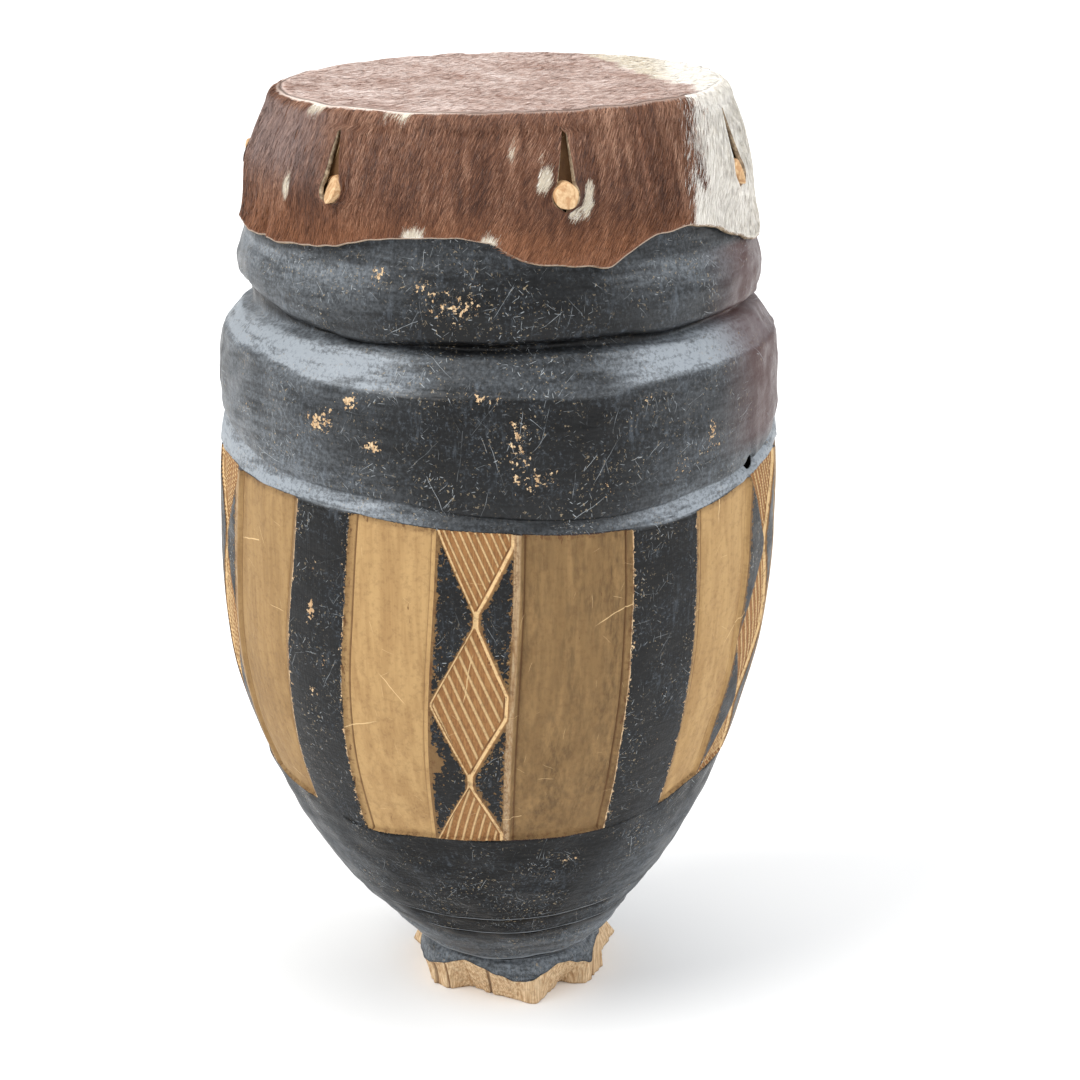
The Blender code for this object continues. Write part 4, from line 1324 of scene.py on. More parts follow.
    def hollow_zone(self) -> Rows:
        """The hollow from the rim down to the floor, chiselled and left raw."""
        azimuth = -80.0 + np.arange(self.inner_columns) * 360.0 / self.inner_columns
        wall = 0.0135
        bowl = self.bowl_radius
        stations = (
            (0.0, 0.0255), (self.neck_height, 0.0235), (0.0576, 0.0249), (0.072, 0.0364),
            (0.110, float(bowl(0.110)) - 1.75 * wall), (0.170, float(bowl(0.170)) - 1.25 * wall),
            (0.250, float(bowl(0.250)) - 1.10 * wall), (0.3465, 0.1612 - 1.05 * wall),
            (0.4265, 0.1425 - 0.85 * wall), (0.505, 0.1424 - wall), (self.height, 0.1147))
        curve = smooth_curve([pair[0] for pair in stations], [pair[1] for pair in stations])
        height = np.linspace(self.height, 0.0, 48)[:, None] * np.ones(self.inner_columns)
        radius = curve(height)
        points = turned(azimuth, radius, height)
        rough = fade(height, 0.002, 0.02) * fade(-height, -self.height + 0.002, -self.height + 0.02)
        radius = radius + rough * 0.0006 * Lumps(0.028, 51, (1, 1, 1.6)).at(points)
        return self.rows_at(azimuth[None, :], height, radius, black=-9.0, tones=(0.0, 0.8, 0.0))

    def build(self, finish: bpy.types.Material) -> bpy.types.Object:
        """Join all rows into the closed body.

        Args:
            finish: the body's material.

        Returns:
            The body's object.
        """
        points, quads, triangles, turns, numbers, starts = [], [], [], [], [], []
        fields: dict[str, list[Array]] = {"edges": [], "tones": [], "marks": []}
        count = 0
        for zone in (self.foot_zone(), self.bowl_zone(), self.panel_zone(), self.ring_zone(),
                     self.shoulder_zone(), self.hollow_zone()):
            ids = count + np.arange(zone.azimuth.size).reshape(zone.azimuth.shape)
            count += zone.azimuth.size
            starts.append(len(numbers))
            points.append(zone.points().reshape(-1, 3))
            for label, values in zone.fields().items():
                fields[label].append(values.reshape(-1, 3))
            quads += [row_quads(first, second) for first, second in zip(ids, ids[1:])]
            numbers += list(ids)
            turns += list(zone.azimuth)
        for row in starts[1:] + [0]:
            triangles.append(bridge(numbers[row - 1], numbers[row], turns[row - 1], turns[row]))
        places = np.concatenate(points)
        means = np.array([[np.hypot(*places[ids, :2].T).mean(), places[ids, 2].mean()]
                          for ids in numbers])
        arc = np.concatenate([[0.0], np.cumsum(np.hypot(*np.diff(means, axis=0).T))])
        metres = CarvedWoodFinish.map_metres
        flat = [np.stack([(turn + 90.0) / 360.0 * self.map_girth / metres,
                          np.full(len(turn), along / metres)], axis=1)
                for turn, along in zip(turns, arc)]
        item = make_mesh("drum_body", places, np.concatenate(quads), np.concatenate(triangles),
                         {label: np.concatenate(parts) for label, parts in fields.items()},
                         np.concatenate(flat))
        item.data.materials.append(finish)
        return ride(item, "blackened_wood", "shell")


def smooth_rows(controls: Array, between: int) -> Array:
    """Rows on a soft curve through control rows.

    Each stretch is a cubic whose slopes are 0.4 of the step between the neighbours on both
    sides, so it passes through every control.

    Args:
        controls: control rows by columns.
        between: new rows for each stretch.

    Returns:
        The finer rows.
    """
    first, second = controls[:-1, None], controls[1:, None]
    before = np.concatenate([controls[:1], controls[:-2]])[:, None]
    after = np.concatenate([controls[2:], controls[-1:]])[:, None]
    t = (np.arange(between) / between)[None, :, None]
    rows = cubic(t, first, second, (second - before) * 0.4, (after - first) * 0.4)
    return np.concatenate([rows.reshape(-1, controls.shape[1]), controls[-1:]])


@dataclass(frozen=True)
class Slit:
    """A cut in the hide that a peg has drawn open, and the peg in it."""

    azimuth: float
    height: float
    lean: float = 0.0        # degrees that the slit's tip lies to the right of its peg
    tall: float = 0.0375
    proud: float = 0.0078    # how far the peg stands off the wood
    peg_tilt: tuple[float, float] = (0.0, 0.0)


@dataclass
class HideHead:
    """The hide: a side that hangs over the shoulder, a rolled rim and a flat head.

    The side's radius is the wood's, plus a lift at its free edge, a soft hump round each peg
    and small puckers. A slit is a column of doubled points drawn apart by w/2 exp(-|u|/run),
    where u is the distance from the slit.
    """

    body: DrumBody
    slits: tuple[Slit, ...]
    thickness: float = 0.0023
    gap: float = 0.0005
    tilt: float = 0.0022
    run: float = 0.0095
    side_radius: float = 0.145
    side_arc: float = 145.0      # the same in millimetres
    roll_arc: float = 0.5 * math.pi * 8.2  # the roll's length in millimetres, as the finish reads it
    crest_share: float = 0.92    # where on the roll the worn crest lies
    map_span: float = 0.95
    flat_radius: float = 0.1232  # the flat head's radius
    roll_inside: float = 0.0064  # how far the rim's roll reaches past it
    slit_round: float = 0.0076   # half widths of a slit round its peg and over it
    slit_drop: float = 0.0052
    skirt: tuple[tuple[float, float], ...] = (
        (-172, 482), (-150, 474), (-128, 480), (-104, 472), (-86, 476), (-80, 478), (-73, 477),
        (-57, 477), (-46, 478), (-37, 480), (-28, 485), (-19, 488), (-10, 489), (-2, 487),
        (2, 480), (8.5, 475), (16, 474), (22.5, 472.5), (28, 479), (36, 487), (44, 489),
        (51, 486), (63, 476), (74, 470), (92, 477), (118, 484), (140, 474), (162, 478))
    # Cream patches: azimuth, height, half width and half height in millimetres.
    patches: tuple[tuple[float, float, float, float], ...] = (
        (10.4, 520, 4.0, 7.2), (18.2, 507, 3.8, 7.2), (15.6, 500.5, 4.0, 2.2), (-53, 508, 3.0, 6.0),
        (-50, 552, 7, 4.0), (-24, 554, 8, 4.4), (-18.2, 490, 5.2, 3.0), (-1.4, 487, 4.6, 3.8),
        (2.8, 533, 1.5, 3.6),
        (150, 500, 22, 14), (196, 520, 5, 11), (233, 487, 13, 7), (-120, 536, 12, 4))

    def slit_width(self, above: Array, tall: float) -> Array:
        """Half width of a slit at a height above its peg: round below, a long drop above."""
        circle = np.sqrt(np.maximum(self.slit_round ** 2 - above ** 2, 0.0))
        drop = self.slit_drop * (tall - above) / (tall - 0.0065)
        return np.maximum(circle, np.where((above > 0) & (above < tall), drop, 0.0))

    def warp(self, azimuth: Array, height: Array, side: Array | float) -> tuple[Array, Array]:
        """Sideways move, in degrees, and outward curl, in metres, that the slits cause.

        Args:
            azimuth, height: the place before it is moved.
            side: which way a point goes that lies on a slit, -1 or 1.

        Returns:
            The move and the curl.
        """
        move, curl = np.zeros(np.shape(azimuth)), np.zeros(np.shape(azimuth))
        for slit in self.slits:
            u = degrees_from(azimuth, slit.azimuth) * DEGREE * self.side_radius
            way = np.where(np.abs(u) < 1e-7, side, np.sign(u))
            above = height - slit.height
            half = self.slit_width(above, slit.tall)
            move = move + way * half * np.exp(-np.abs(u) / self.run)
            lean = math.radians(slit.lean) * 0.14 * np.clip(above / slit.tall, 0, 1.2)
            move = move + lean * np.exp(-(u / 0.016) ** 2)
            open_share = np.clip(half / 0.005, 0, 1)
            curl = curl + 0.0015 * open_share * np.exp(-np.abs(u) / 0.0030)
            near = (u ** 2 + (above + 0.002) ** 2) / 0.017 ** 2
            curl = curl + 0.0016 * np.exp(-near)
        return np.degrees(move / self.side_radius), curl

    def edge_height(self, azimuth: Array) -> Array:
        """Height of the skirt's free edge, with its small raggedness."""
        ragged = 0.0005 * Lumps(0.014, 61).at(unit_circle(azimuth) * 0.148)
        return around(self.skirt, MM)(azimuth) + ragged

    def side_point(self, azimuth: Array, height: Array, side: Array | float = 1.0) -> Array:
        """A point on the outer face of the hide's side.

        Args:
            azimuth, height: the place before the slits move it.
            side: which way a point goes that lies on a slit.

        Returns:
            The point.
        """
        edge = self.edge_height(azimuth)
        share = np.clip(1.0 - (height - edge) / 0.022, 0.0, 1.0)
        gape = 0.0011 + 0.0036 * np.exp(-((azimuth - 50) / 9.0) ** 2)
        gape = gape + 0.0026 * np.exp(-((azimuth + 54) / 4.5) ** 2)
        gape = gape + 0.0024 * np.exp(-((azimuth + 66) / 4.0) ** 2)
        radius = self.body.shoulder(height) + self.gap + self.thickness + gape * share ** 2
        fold = (azimuth + 60.0) * DEGREE * 0.148
        radius = radius - 0.0026 * np.exp(-(fold / 0.0030) ** 2) * share ** 0.7
        move, curl = self.warp(azimuth, height, side)
        plain = turned(azimuth, radius, height)
        radius = radius + curl + 0.0006 * Lumps(0.030, 62, (1, 1, 1.8)).at(plain)
        lift = self.tilt * np.sin(np.radians(azimuth)) * fade(height, 0.50, 0.545)
        return turned(azimuth + move, radius, height + lift)

    def roll_length(self) -> float:
        """The length of the hide's outer face round the rim."""
        return math.pi / 2 * (self.roll_inside + self.gap + self.thickness)

    def outer_point(self, azimuth: Array, down: Array) -> Array:
        """A point a distance down the hide from where the rim's roll meets the flat head.

        Args:
            azimuth: where it is, in degrees.
            down: the distance in metres.

        Returns:
            The point.
        """
        roll_length = self.roll_length()
        start = self.body.height - self.body.rim_round
        rolled = self.head_point(azimuth, 1.0 - np.clip(down / roll_length, 0.0, 1.0))
        hung = self.side_point(azimuth, start - np.maximum(down - roll_length, 0.0))
        return np.where((down < roll_length)[..., None], rolled, hung)

    def head_point(self, azimuth: Array, roll: Array) -> Array:
        """A point on the rim's roll, for roll 0 to 1, or on the flat head, for roll 1 to 2.

        Args:
            azimuth: where it is, in degrees.
            roll: how far it is along roll and head.

        Returns:
            The point.
        """
        body = self.body
        lift = self.gap + self.thickness
        turn = np.clip(roll, 0, 1) * math.pi / 2
        inward = np.clip(roll - 1, 0, 1)
        radius = (self.flat_radius + (self.roll_inside + lift) * np.cos(turn)) * (1 - inward)
        top = body.height - body.rim_round + (body.rim_round + lift) * np.sin(turn)
        sag = 0.0012 * fade(inward, 0.0, 0.25)
        plain = turned(azimuth, radius, top)
        wave = 0.00045 * Lumps(0.022, 63).at(plain) * fade(roll, 0.0, 0.4)
        return turned(azimuth, radius, top - sag + wave + self.tilt * np.sin(np.radians(azimuth))
                      * (1 - inward))

    def cream(self, azimuth: Array, height: Array) -> Array:
        """How far inside cream hair a place on the side lies, in millimetres.

        Args:
            azimuth, height: the place.

        Returns:
            The distance, less than nought outside.
        """
        edge = smooth_curve((0.470, 0.485, 0.505, 0.530, 0.549), (41.5, 43.5, 47.0, 50.5, 52.0))(height)
        arc = DEGREE * self.side_arc
        place = turned(azimuth, self.side_radius, height)
        inside = np.minimum(azimuth - edge, 112.0 - azimuth) * arc
        inside = inside + 4.0 * Lumps(0.015, 67, (1, 1, 1.5)).at(place)
        for turn, middle, wide, tall in self.patches:
            across, up = degrees_from(azimuth, turn) * arc, height / MM - middle
            reach = (np.abs(across / wide) ** 2.6 + np.abs(up / tall) ** 2.6) ** 0.38
            inside = np.maximum(inside, (1 - reach) * min(wide, tall) * 1.3)
        return inside + 1.3 * Lumps(0.010, 64).at(place)

    def cream_top(self, points: Array) -> Array:
        """How far inside cream hair a place on the head lies, in millimetres."""
        edge = (points[..., 0] * 0.945 + points[..., 1] * 0.328 - 0.0865) / MM
        return edge + 4.0 * Lumps(0.02, 65).at(points)

    def slant(self, azimuth: Array) -> Array:
        """Lean of the side's hair from the vertical, in radians, its tips towards -azimuth."""
        stations, leans = (-180, -60, -25, 5, 40, 90, 180), (-8, 0, 8, 30, 36, 30, -8)
        return np.radians(np.interp(degrees_from(np.asarray(azimuth), 0), stations, leans))

    def columns(self) -> tuple[Array, Array]:
        """Azimuths of the grid's columns, and the numbers of those that lie on a slit."""
        turns = sorted((slit.azimuth + 100) % 360 - 100 for slit in self.slits)
        azimuths, marks = [], []
        for start, end in zip(turns, turns[1:] + [turns[0] + 360]):
            count = round((end - start) / 0.8)
            marks.append(sum(len(part) for part in azimuths))
            azimuths.append(start + np.arange(count) * (end - start) / count)
        return np.concatenate(azimuths), np.array(marks)

    def build(self, hair_base: bpy.types.Material, cut_edge: bpy.types.Material) -> bpy.types.Object:
        """Build the hide's skin.

        Args:
            hair_base: the material of its face.
            cut_edge: the material of its cut edges.

        Returns:
            The hide's object, thickened inward.
        """
        azimuth, marks = self.columns()
        edge = self.edge_height(azimuth)
        low = 0.4955
        free = edge + (low - edge) * np.linspace(0.0, 1.0, 12)[:-1, None]
        straight = np.linspace(low, self.body.height - self.body.rim_round, 30)[:, None]
        height = np.concatenate([free, straight * np.ones_like(azimuth)])
        grid = np.broadcast_to(azimuth, height.shape)
        roll = np.concatenate([np.linspace(0.0, 1.0, 8)[1:], 1 + np.linspace(0, 0.985, 26)[1:]])[:, None]
        side_right = self.side_point(grid, height, 1.0)
        side_left = self.side_point(grid, height, -1.0)
        head = self.head_point(azimuth[None, :], roll * np.ones_like(azimuth))
        points = np.concatenate([side_right, head])
        rows, columns = points.shape[:2]
        right = np.arange(rows * columns).reshape(rows, columns)
        left = right.copy()
        extra, extra_height, extra_azimuth = [], [], []
        count = rows * columns
        for mark in marks:
            gap = np.linalg.norm(side_right[:, mark] - side_left[:, mark], axis=1)
            split = np.nonzero(gap > 1e-5)[0]
            left[split, mark] = count + np.arange(len(split))
            count += len(split)
            extra.append(side_left[split, mark])
            extra_height.append(height[split, mark])
            extra_azimuth.append(grid[split, mark])
        first, second = right, np.roll(left, -1, axis=1)
        quads = np.stack([first[:-1], second[:-1], second[1:], first[1:]], axis=-1).reshape(-1, 4)
        centre = np.array([[0.0, 0.0, points[-1, :, 2].mean()]])
        triangles = np.stack([right[-1], np.roll(right[-1], -1), np.full(columns, count)], axis=1)
        places = np.concatenate([points.reshape(-1, 3), *extra, centre])
        fields, flat = self.fields(grid, height, head, azimuth, roll,
                                   np.concatenate(extra_azimuth), np.concatenate(extra_height))
        item = make_mesh("drum_hide", places, quads, triangles, fields, flat)
        item.data.materials.append(hair_base)
        item.data.materials.append(cut_edge)
        wall = item.modifiers.new("hide_thickness", "SOLIDIFY")
        wall.thickness = self.thickness
        wall.offset = -1.0
        wall.material_offset_rim = 1
        wall.material_offset = 1
        return ride(item, "cowhide", "drumskin")

    def side_fields(self, turn: Array, tall: Array) -> tuple[Array, Array, Array]:
        """What the finish reads on the hide's side.

        Args:
            turn, tall: azimuths and heights there.

        Returns:
            Coat, flow and map coordinates, flattened to rows.
        """
        roll_end = (self.body.height - self.body.rim_round - tall) / MM
        coat = np.stack([self.cream(turn, tall), roll_end + self.crest_share * self.roll_arc,
                         (tall - self.edge_height(turn)) / MM], axis=-1)
        along = tall / MM
        across = turn * DEGREE * self.side_arc - np.tan(self.slant(turn)) * (along - 510.0)
        flow = np.stack([across, along, np.full_like(along, 0.3)], axis=-1)
        flat = np.stack([(turn + 100.0) / 360.0 * self.map_span, (tall - 0.465) / 0.95], axis=-1)
        return coat.reshape(-1, 3), flow.reshape(-1, 3), flat.reshape(-1, 2)

    def fields(self, grid: Array, height: Array, head: Array, azimuth: Array, roll: Array,
               extra_azimuth: Array, extra_height: Array) -> tuple[dict[str, Array], Array]:
        """What the hide's finish reads at each point.

        Args:
            grid, height: azimuths and heights of the side's points.
            head, azimuth, roll: the head's points, and where they lie on roll and head.
            extra_azimuth, extra_height: the doubled points along the slits.

        Returns:
            The attributes by name, and the map coordinates. coat holds millimetres inside
            cream hair, from the rim's worn crest and above the free edge. flow holds
            millimetres across and along the hair, and how far the crest is rubbed.
        """
        sides, extras = self.side_fields(grid, height), self.side_fields(extra_azimuth, extra_height)
        crest = np.abs(np.clip(roll, 0, 1) - self.crest_share) * self.roll_arc
        crest = crest + np.clip(roll - 1, 0, 1) * 123.0
        cream = np.where(roll < 1, self.cream(azimuth[None, :], 0.549), self.cream_top(head))
        spread = np.ones_like(cream)
        coat = np.stack([cream, crest * spread, 60.0 * spread], axis=-1)
        rubbed = 0.25 + 0.7 * fade(-np.abs(azimuth + 45), -42, -18)
        rolled = np.stack([azimuth * DEGREE * self.side_arc * spread,
                           545.0 + roll * 12.0 * spread, rubbed * spread], axis=-1)
        level = np.stack([head[..., 1] / MM + 900.0, head[..., 0] / MM, 0.0 * spread], axis=-1)
        flow = np.where((roll < 1.0)[..., None], rolled, level)
        flat = np.stack([np.broadcast_to((azimuth + 100.0) / 360.0 * self.map_span, cream.shape),
                         0.085 + 0.12 * roll * spread], axis=-1)
        tops = (coat.reshape(-1, 3), flow.reshape(-1, 3), flat.reshape(-1, 2))
        centre = ([[-60.0, 120.0, 60.0]], [[900.0, 0.0, 0.0]], [[0.5, 0.33]])
        coat, flow, flat = (np.concatenate(parts) for parts in zip(sides, tops, extras, centre))
        return {"coat": coat, "flow": flow}, flat


@dataclass(frozen=True)
class HideFinish:
    """The hide under its hair: streaks that follow the lie of the hair, patches and worn rim."""

    name: str = "cowhide_skin"
    deep: Colour = srgb(64, 34, 20)
    mid: Colour = srgb(124, 80, 56)
    light: Colour = srgb(184, 142, 116)
    # Paler tones for the head: its own paler hair with painted light from above.
    top_deep: Colour = srgb(158, 120, 104)
    top_mid: Colour = srgb(215, 194, 184)
    top_light: Colour = srgb(244, 232, 226)
    warm: Colour = srgb(150, 92, 50)
    sheen: Colour = srgb(168, 150, 146)
    cream: Colour = srgb(250, 247, 240)
    cream_shade: Colour = srgb(243, 238, 229)
    worn: Colour = srgb(234, 216, 204)
    rim_line: Colour = srgb(176, 156, 138)
    edge_tone: Colour = srgb(126, 72, 40)

    def build(self) -> bpy.types.Material:
        """Make the material from the hide's coat and flow."""
        material, net, shader = new_material(self.name)
        place = net.place()
        cream_in, crest, above = net.field("coat")
        across, along, rubbed = net.field("flow")
        lie = net.feed_all(net.node("ShaderNodeCombineXYZ"), (across, net.times(along, 0.09)))
        fine = net.noise(lie.outputs[0], 1.6, 3.0, 0.6, 0.2)
        broad = net.noise(lie.outputs[0], 0.16, 2.0, 0.5)
        is_top = net.math("GREATER_THAN", across, 500.0)
        deep, mid, light = (net.mix(is_top, side, top) for side, top in (
            (self.deep, self.top_deep), (self.mid, self.top_mid), (self.light, self.top_light)))
        colour = net.mix(net.step(fine, 0.36, 0.60), deep, mid)
        lift = net.times(net.step(fine, 0.52, 0.72), net.step(broad, 0.35, 0.65))
        colour = net.lay(colour, light, lift, 0.8)
        colour = net.lay(colour, self.edge_tone, net.step(above, 12.0, 1.0), 0.4)
        inside = net.plus(cream_in, net.about_nought(net.noise(place, 160.0, 4.0, 0.7), 5.0))
        cream = net.mix(net.step(fine, 0.35, 0.62), self.cream_shade, self.cream)
        colour = net.mix(net.step(inside, -0.8, 0.8), colour, cream)
        chance = net.about_nought(net.noise(place, 90.0, 4.0, 0.65), 5.0)
        worn = net.step(net.plus(net.math("ABSOLUTE", crest), chance), 3.2, 2.0)
        colour = net.lay(colour, self.worn, worn, rubbed)
        colour = net.mix(net.step(above, 0.8, 0.4), colour, self.rim_line)
        net.dress(shader, colour, net.step(fine, 0.3, 0.7, 0.48, 0.70), 0.35,
                  net.bump(broad, 0.0006, net.bump(fine, 0.0007)))
        return material


@dataclass(frozen=True)
class CutHideFinish:
    """The hide's pale cut edge and flesh side."""

    name: str = "cut_hide_edge"
    pale: Colour = srgb(186, 166, 138)
    dark: Colour = srgb(104, 84, 62)

    def build(self) -> bpy.types.Material:
        """Make the material."""
        material, net, shader = new_material(self.name)
        grain, soft = net.noise(net.place(), 420.0, 4.0, 0.6), net.noise(net.place(), 70.0, 3.0)
        colour = net.lay(self.dark, self.pale, net.step(grain, 0.35, 0.65), net.step(soft, 0.2, 0.6))
        net.dress(shader, colour, net.step(grain, 0.3, 0.7, 0.6, 0.8), None, net.bump(grain, 0.0003))
        return material


@dataclass(frozen=True)
class HairFinish:
    """Short sleek hair, each strand with its own colour carried by the mesh."""

    name: str = "cowhide_hair"

    def build(self) -> bpy.types.Material:
        """Make the material."""
        material, net, shader = new_material(self.name)
        own = net.node("ShaderNodeAttribute", attribute_name="strand").outputs["Color"]
        tone = net.noise(net.place(), 260.0, 2.0)
        shade = net.mix(net.step(tone, 0.3, 0.7), (0.88, 0.87, 0.87, 1.0), (1.0, 1.0, 1.0, 1.0))
        net.dress(shader, net.mix(1.0, own, shade, "MULTIPLY"),
                  net.step(tone, 0.3, 0.7, 0.42, 0.60), 0.40)
        return material


@dataclass
class HairCoat:
    """Short hair laid on the hide: each strand a narrow blade of two faces.

    A blade runs from its root along the lie of the hair, rising a little off the skin, and
    narrows to its tip.
    """

    hide: HideHead
    finish: HideFinish
    length: float = 0.0060
    width: float = 0.00032
    seed: int = 77

    def stations(self) -> Array:
        """Shares of a strand's length at its root, middle and tip, as a column."""
        return np.array([0.0, 0.5, 1.0])[:, None]

    def side(self, name: str, start: float, end: float, count: int,
             material: bpy.types.Material) -> bpy.types.Object:
        """Hair on the hide's side and on the outer part of its rolled rim.

        Args:
            name: the piece's name.
            start, end: azimuths between which it grows.
            count: how many strands are sown.
            material: the hair's finish.

        Returns:
            The piece of hair. Strands that would cross an open slit are left out.
        """
        rng = np.random.default_rng(self.seed + 360 + int(start))
        hide = self.hide
        azimuth = rng.uniform(start, end, count)
        roll_length = hide.roll_length()
        rim = hide.body.height - hide.body.rim_round
        reach = rim - hide.edge_height(azimuth) + roll_length
        down = 0.0030 + (reach - 0.0030 - 0.0025) * rng.uniform(0, 1, count)
        lean = hide.slant(azimuth) + rng.normal(0, 0.10, count)
        length = self.length * rng.uniform(0.6, 1.15, count)
        t = self.stations()
        turn = azimuth - np.degrees(np.sin(lean) * length * t / hide.side_radius)
        path = np.minimum(down + np.cos(lean) * length * t, reach - rng.uniform(0.0003, 0.0012, count))
        height = rim - (path[1] - roll_length)
        crosses = np.zeros(count, bool)
        for slit in hide.slits:
            u, above = degrees_from(turn, slit.azimuth), height - slit.height
            crosses |= (u[0] * u[2] < 0) & (above > -0.011) & (above < slit.tall + 0.003)
        keep = ~crosses
        flank = (turn[1] > 34) & (turn[1] < 112)
        spread = np.where(flank, 3.0 + 4.0 * fade(height, 0.50, 0.53), 0.8)
        cream = hide.cream(turn[1], height) + rng.normal(0, 1, count) * spread
        spine = hide.outer_point(turn[:, keep], path[:, keep])
        away = turned(turn[:, keep], 1.0, 0.0)
        away[..., 2] += np.clip(1 - path[:, keep] / roll_length, 0, 1)
        away /= np.linalg.norm(away, axis=-1, keepdims=True)
        tones = (self.finish.deep, self.finish.mid, self.finish.light)
        places = turned(turn[1][keep], hide.side_radius, height[keep])
        colour = self.colours(rng, cream[keep], places, tones)
        return self.blades(name, rng, spine, away, colour, material)

    def head(self, name: str, count: int, material: bpy.types.Material) -> bpy.types.Object:
        """Hair on the flat head, lying across it from left to right.

        Args:
            name: the piece's name.
            count: how many strands are sown.
            material: the hair's finish.

        Returns:
            The piece of hair.
        """
        rng = np.random.default_rng(self.seed + 1)
        radius = 0.1226 * np.sqrt(rng.uniform(0, 1, count))
        turn = rng.uniform(0, 2 * math.pi, count)
        x, y = radius * np.cos(turn), radius * np.sin(turn)
        lean = 0.10 + 0.25 * Lumps(0.06, 66).at(np.stack([x, y, x * 0], axis=-1))
        lean = lean + rng.normal(0, 0.12, count)
        length = self.length * rng.uniform(0.45, 0.85, count)
        t = self.stations()
        x, y = x + np.cos(lean) * length * t, y + np.sin(lean) * length * t
        reach = np.hypot(x, y)
        azimuth = np.degrees(np.arctan2(x, -y))
        flat = self.hide.flat_radius
        roll = np.where(reach < flat, 2 - np.clip(reach / flat, 0, 1),
                        1 - np.clip((reach - flat) / 0.0088, 0, 1))
        spine = self.hide.head_point(azimuth, roll)
        away = np.zeros_like(spine)
        away[..., 2] = 1.0
        cream = self.hide.cream_top(spine[1]) + rng.normal(0, 2.2, count)
        # The head's paler tones carry painted light from above.
        tones = (self.finish.top_deep, self.finish.top_mid, self.finish.top_light)
        colour = self.colours(rng, cream, spine[1], tones)
        return self.blades(name, rng, spine, away, colour, material)

    def blades(self, name: str, rng: np.random.Generator, spine: Array, away: Array,
               colour: Array, material: bpy.types.Material) -> bpy.types.Object:
        """Blades about spines.

        Args:
            name: the piece's name.
            rng: the source of chance.
            spine: three points a strand on the skin, 3 by N by 3.
            away: the outward direction at each.
            colour: each strand's colour.
            material: the hair's finish.

        Returns:
            The piece of hair.
        """
        count = spine.shape[1]
        run = spine[2] - spine[0]
        run /= np.maximum(np.linalg.norm(run, axis=1, keepdims=True), 1e-9)
        across = np.cross(run, away[0])
        across /= np.maximum(np.linalg.norm(across, axis=1, keepdims=True), 1e-9)
        roll = rng.normal(0, 0.30, count)[:, None]
        across = across * np.cos(roll) + away[0] * np.sin(roll)
        lift = np.array([0.00005, 0.00030, 0.00050])[:, None] * rng.uniform(0.5, 1.5, count)
        middle = spine + away * lift[..., None]
        half = np.array([1.0, 0.8, 0.16])[:, None, None] * self.width / 2
        left, right = middle - across * half, middle + across * half
        points = np.stack([left, right], axis=2).transpose(1, 0, 2, 3).reshape(-1, 3)
        base = np.arange(count)[:, None] * 6
        quads = np.concatenate([base + np.array([0, 1, 3, 2]), base + np.array([2, 3, 5, 4])])
        item = make_mesh(name, points, quads, np.zeros((0, 3), int))
        layer = item.data.color_attributes.new("strand", "FLOAT_COLOR", "POINT")
        layer.data.foreach_set("color", np.repeat(colour, 6, axis=0).astype(np.float32).reshape(-1))
        side = math.ceil(math.sqrt(count))
        cell = np.stack([np.arange(count) % side, np.arange(count) // side], axis=1) / side
        corner = np.array([(x, y) for y in (0.1, 0.5, 0.9) for x in (0.2, 0.8)]) / side
        flat = (cell[:, None] + corner[None]).reshape(-1, 2)
        loops = np.zeros(len(item.data.loops), np.int32)
        item.data.loops.foreach_get("vertex_index", loops)
        item.data.uv_layers.new(name=BAKE_MAP).data.foreach_set(
            "uv", flat[loops].astype(np.float32).reshape(-1))
        item.data.materials.append(material)
        return ride(item, "cowhide")

    def colours(self, rng: np.random.Generator, cream: Array, places: Array,
                tones: tuple[Colour, Colour, Colour]) -> Array:
        """A colour for each strand: brown shades by chance and by place, or cream.

        Args:
            rng: the source of chance.
            cream: millimetres inside cream hair.
            places: where the strands grow.
            tones: the deep, middle and light brown.

        Returns:
            The strands' colours.
        """
        deep, mid, light = (np.array(tone) for tone in tones)
        pale, shade = np.array(self.finish.cream), np.array(self.finish.cream_shade)
        count = len(cream)
        cloud = Lumps(0.035, 91, (1, 1, 2)).at(places) + 0.8 * Lumps(0.007, 92, (1, 1, 5)).at(places)
        share = np.clip(rng.beta(2.4, 3.1, count) + 0.18 * cloud, 0, 1)[:, None]
        brown = np.where(share < 0.5, deep + (mid - deep) * share * 2,
                         mid + (light - mid) * (share * 2 - 1))
        low = 0.45 * fade(-places[:, 2], -0.508, -0.484)[:, None] * (0.4 + share)
        brown = brown + (np.array(self.finish.warm) - brown) * low
        high = 0.55 * fade(-places[:, 0], 0.085, 0.125) * fade(places[:, 2], 0.500, 0.525)
        high = (high * (np.abs(places[:, 2]) < 0.549))[:, None]
        brown = brown + (np.array(self.finish.sheen) - brown) * high
        grey = rng.uniform(0, 1, (count, 1))
        white = shade + (pale - shade) * grey ** 0.5
        white = white * (1 - np.array([0.22, 0.28, 0.38, 0.0]) * fade(-places[:, :1], -0.105, -0.085))
        blend = fade(cream, -0.6, 0.6)[:, None]
        return brown + (white - brown) * blend


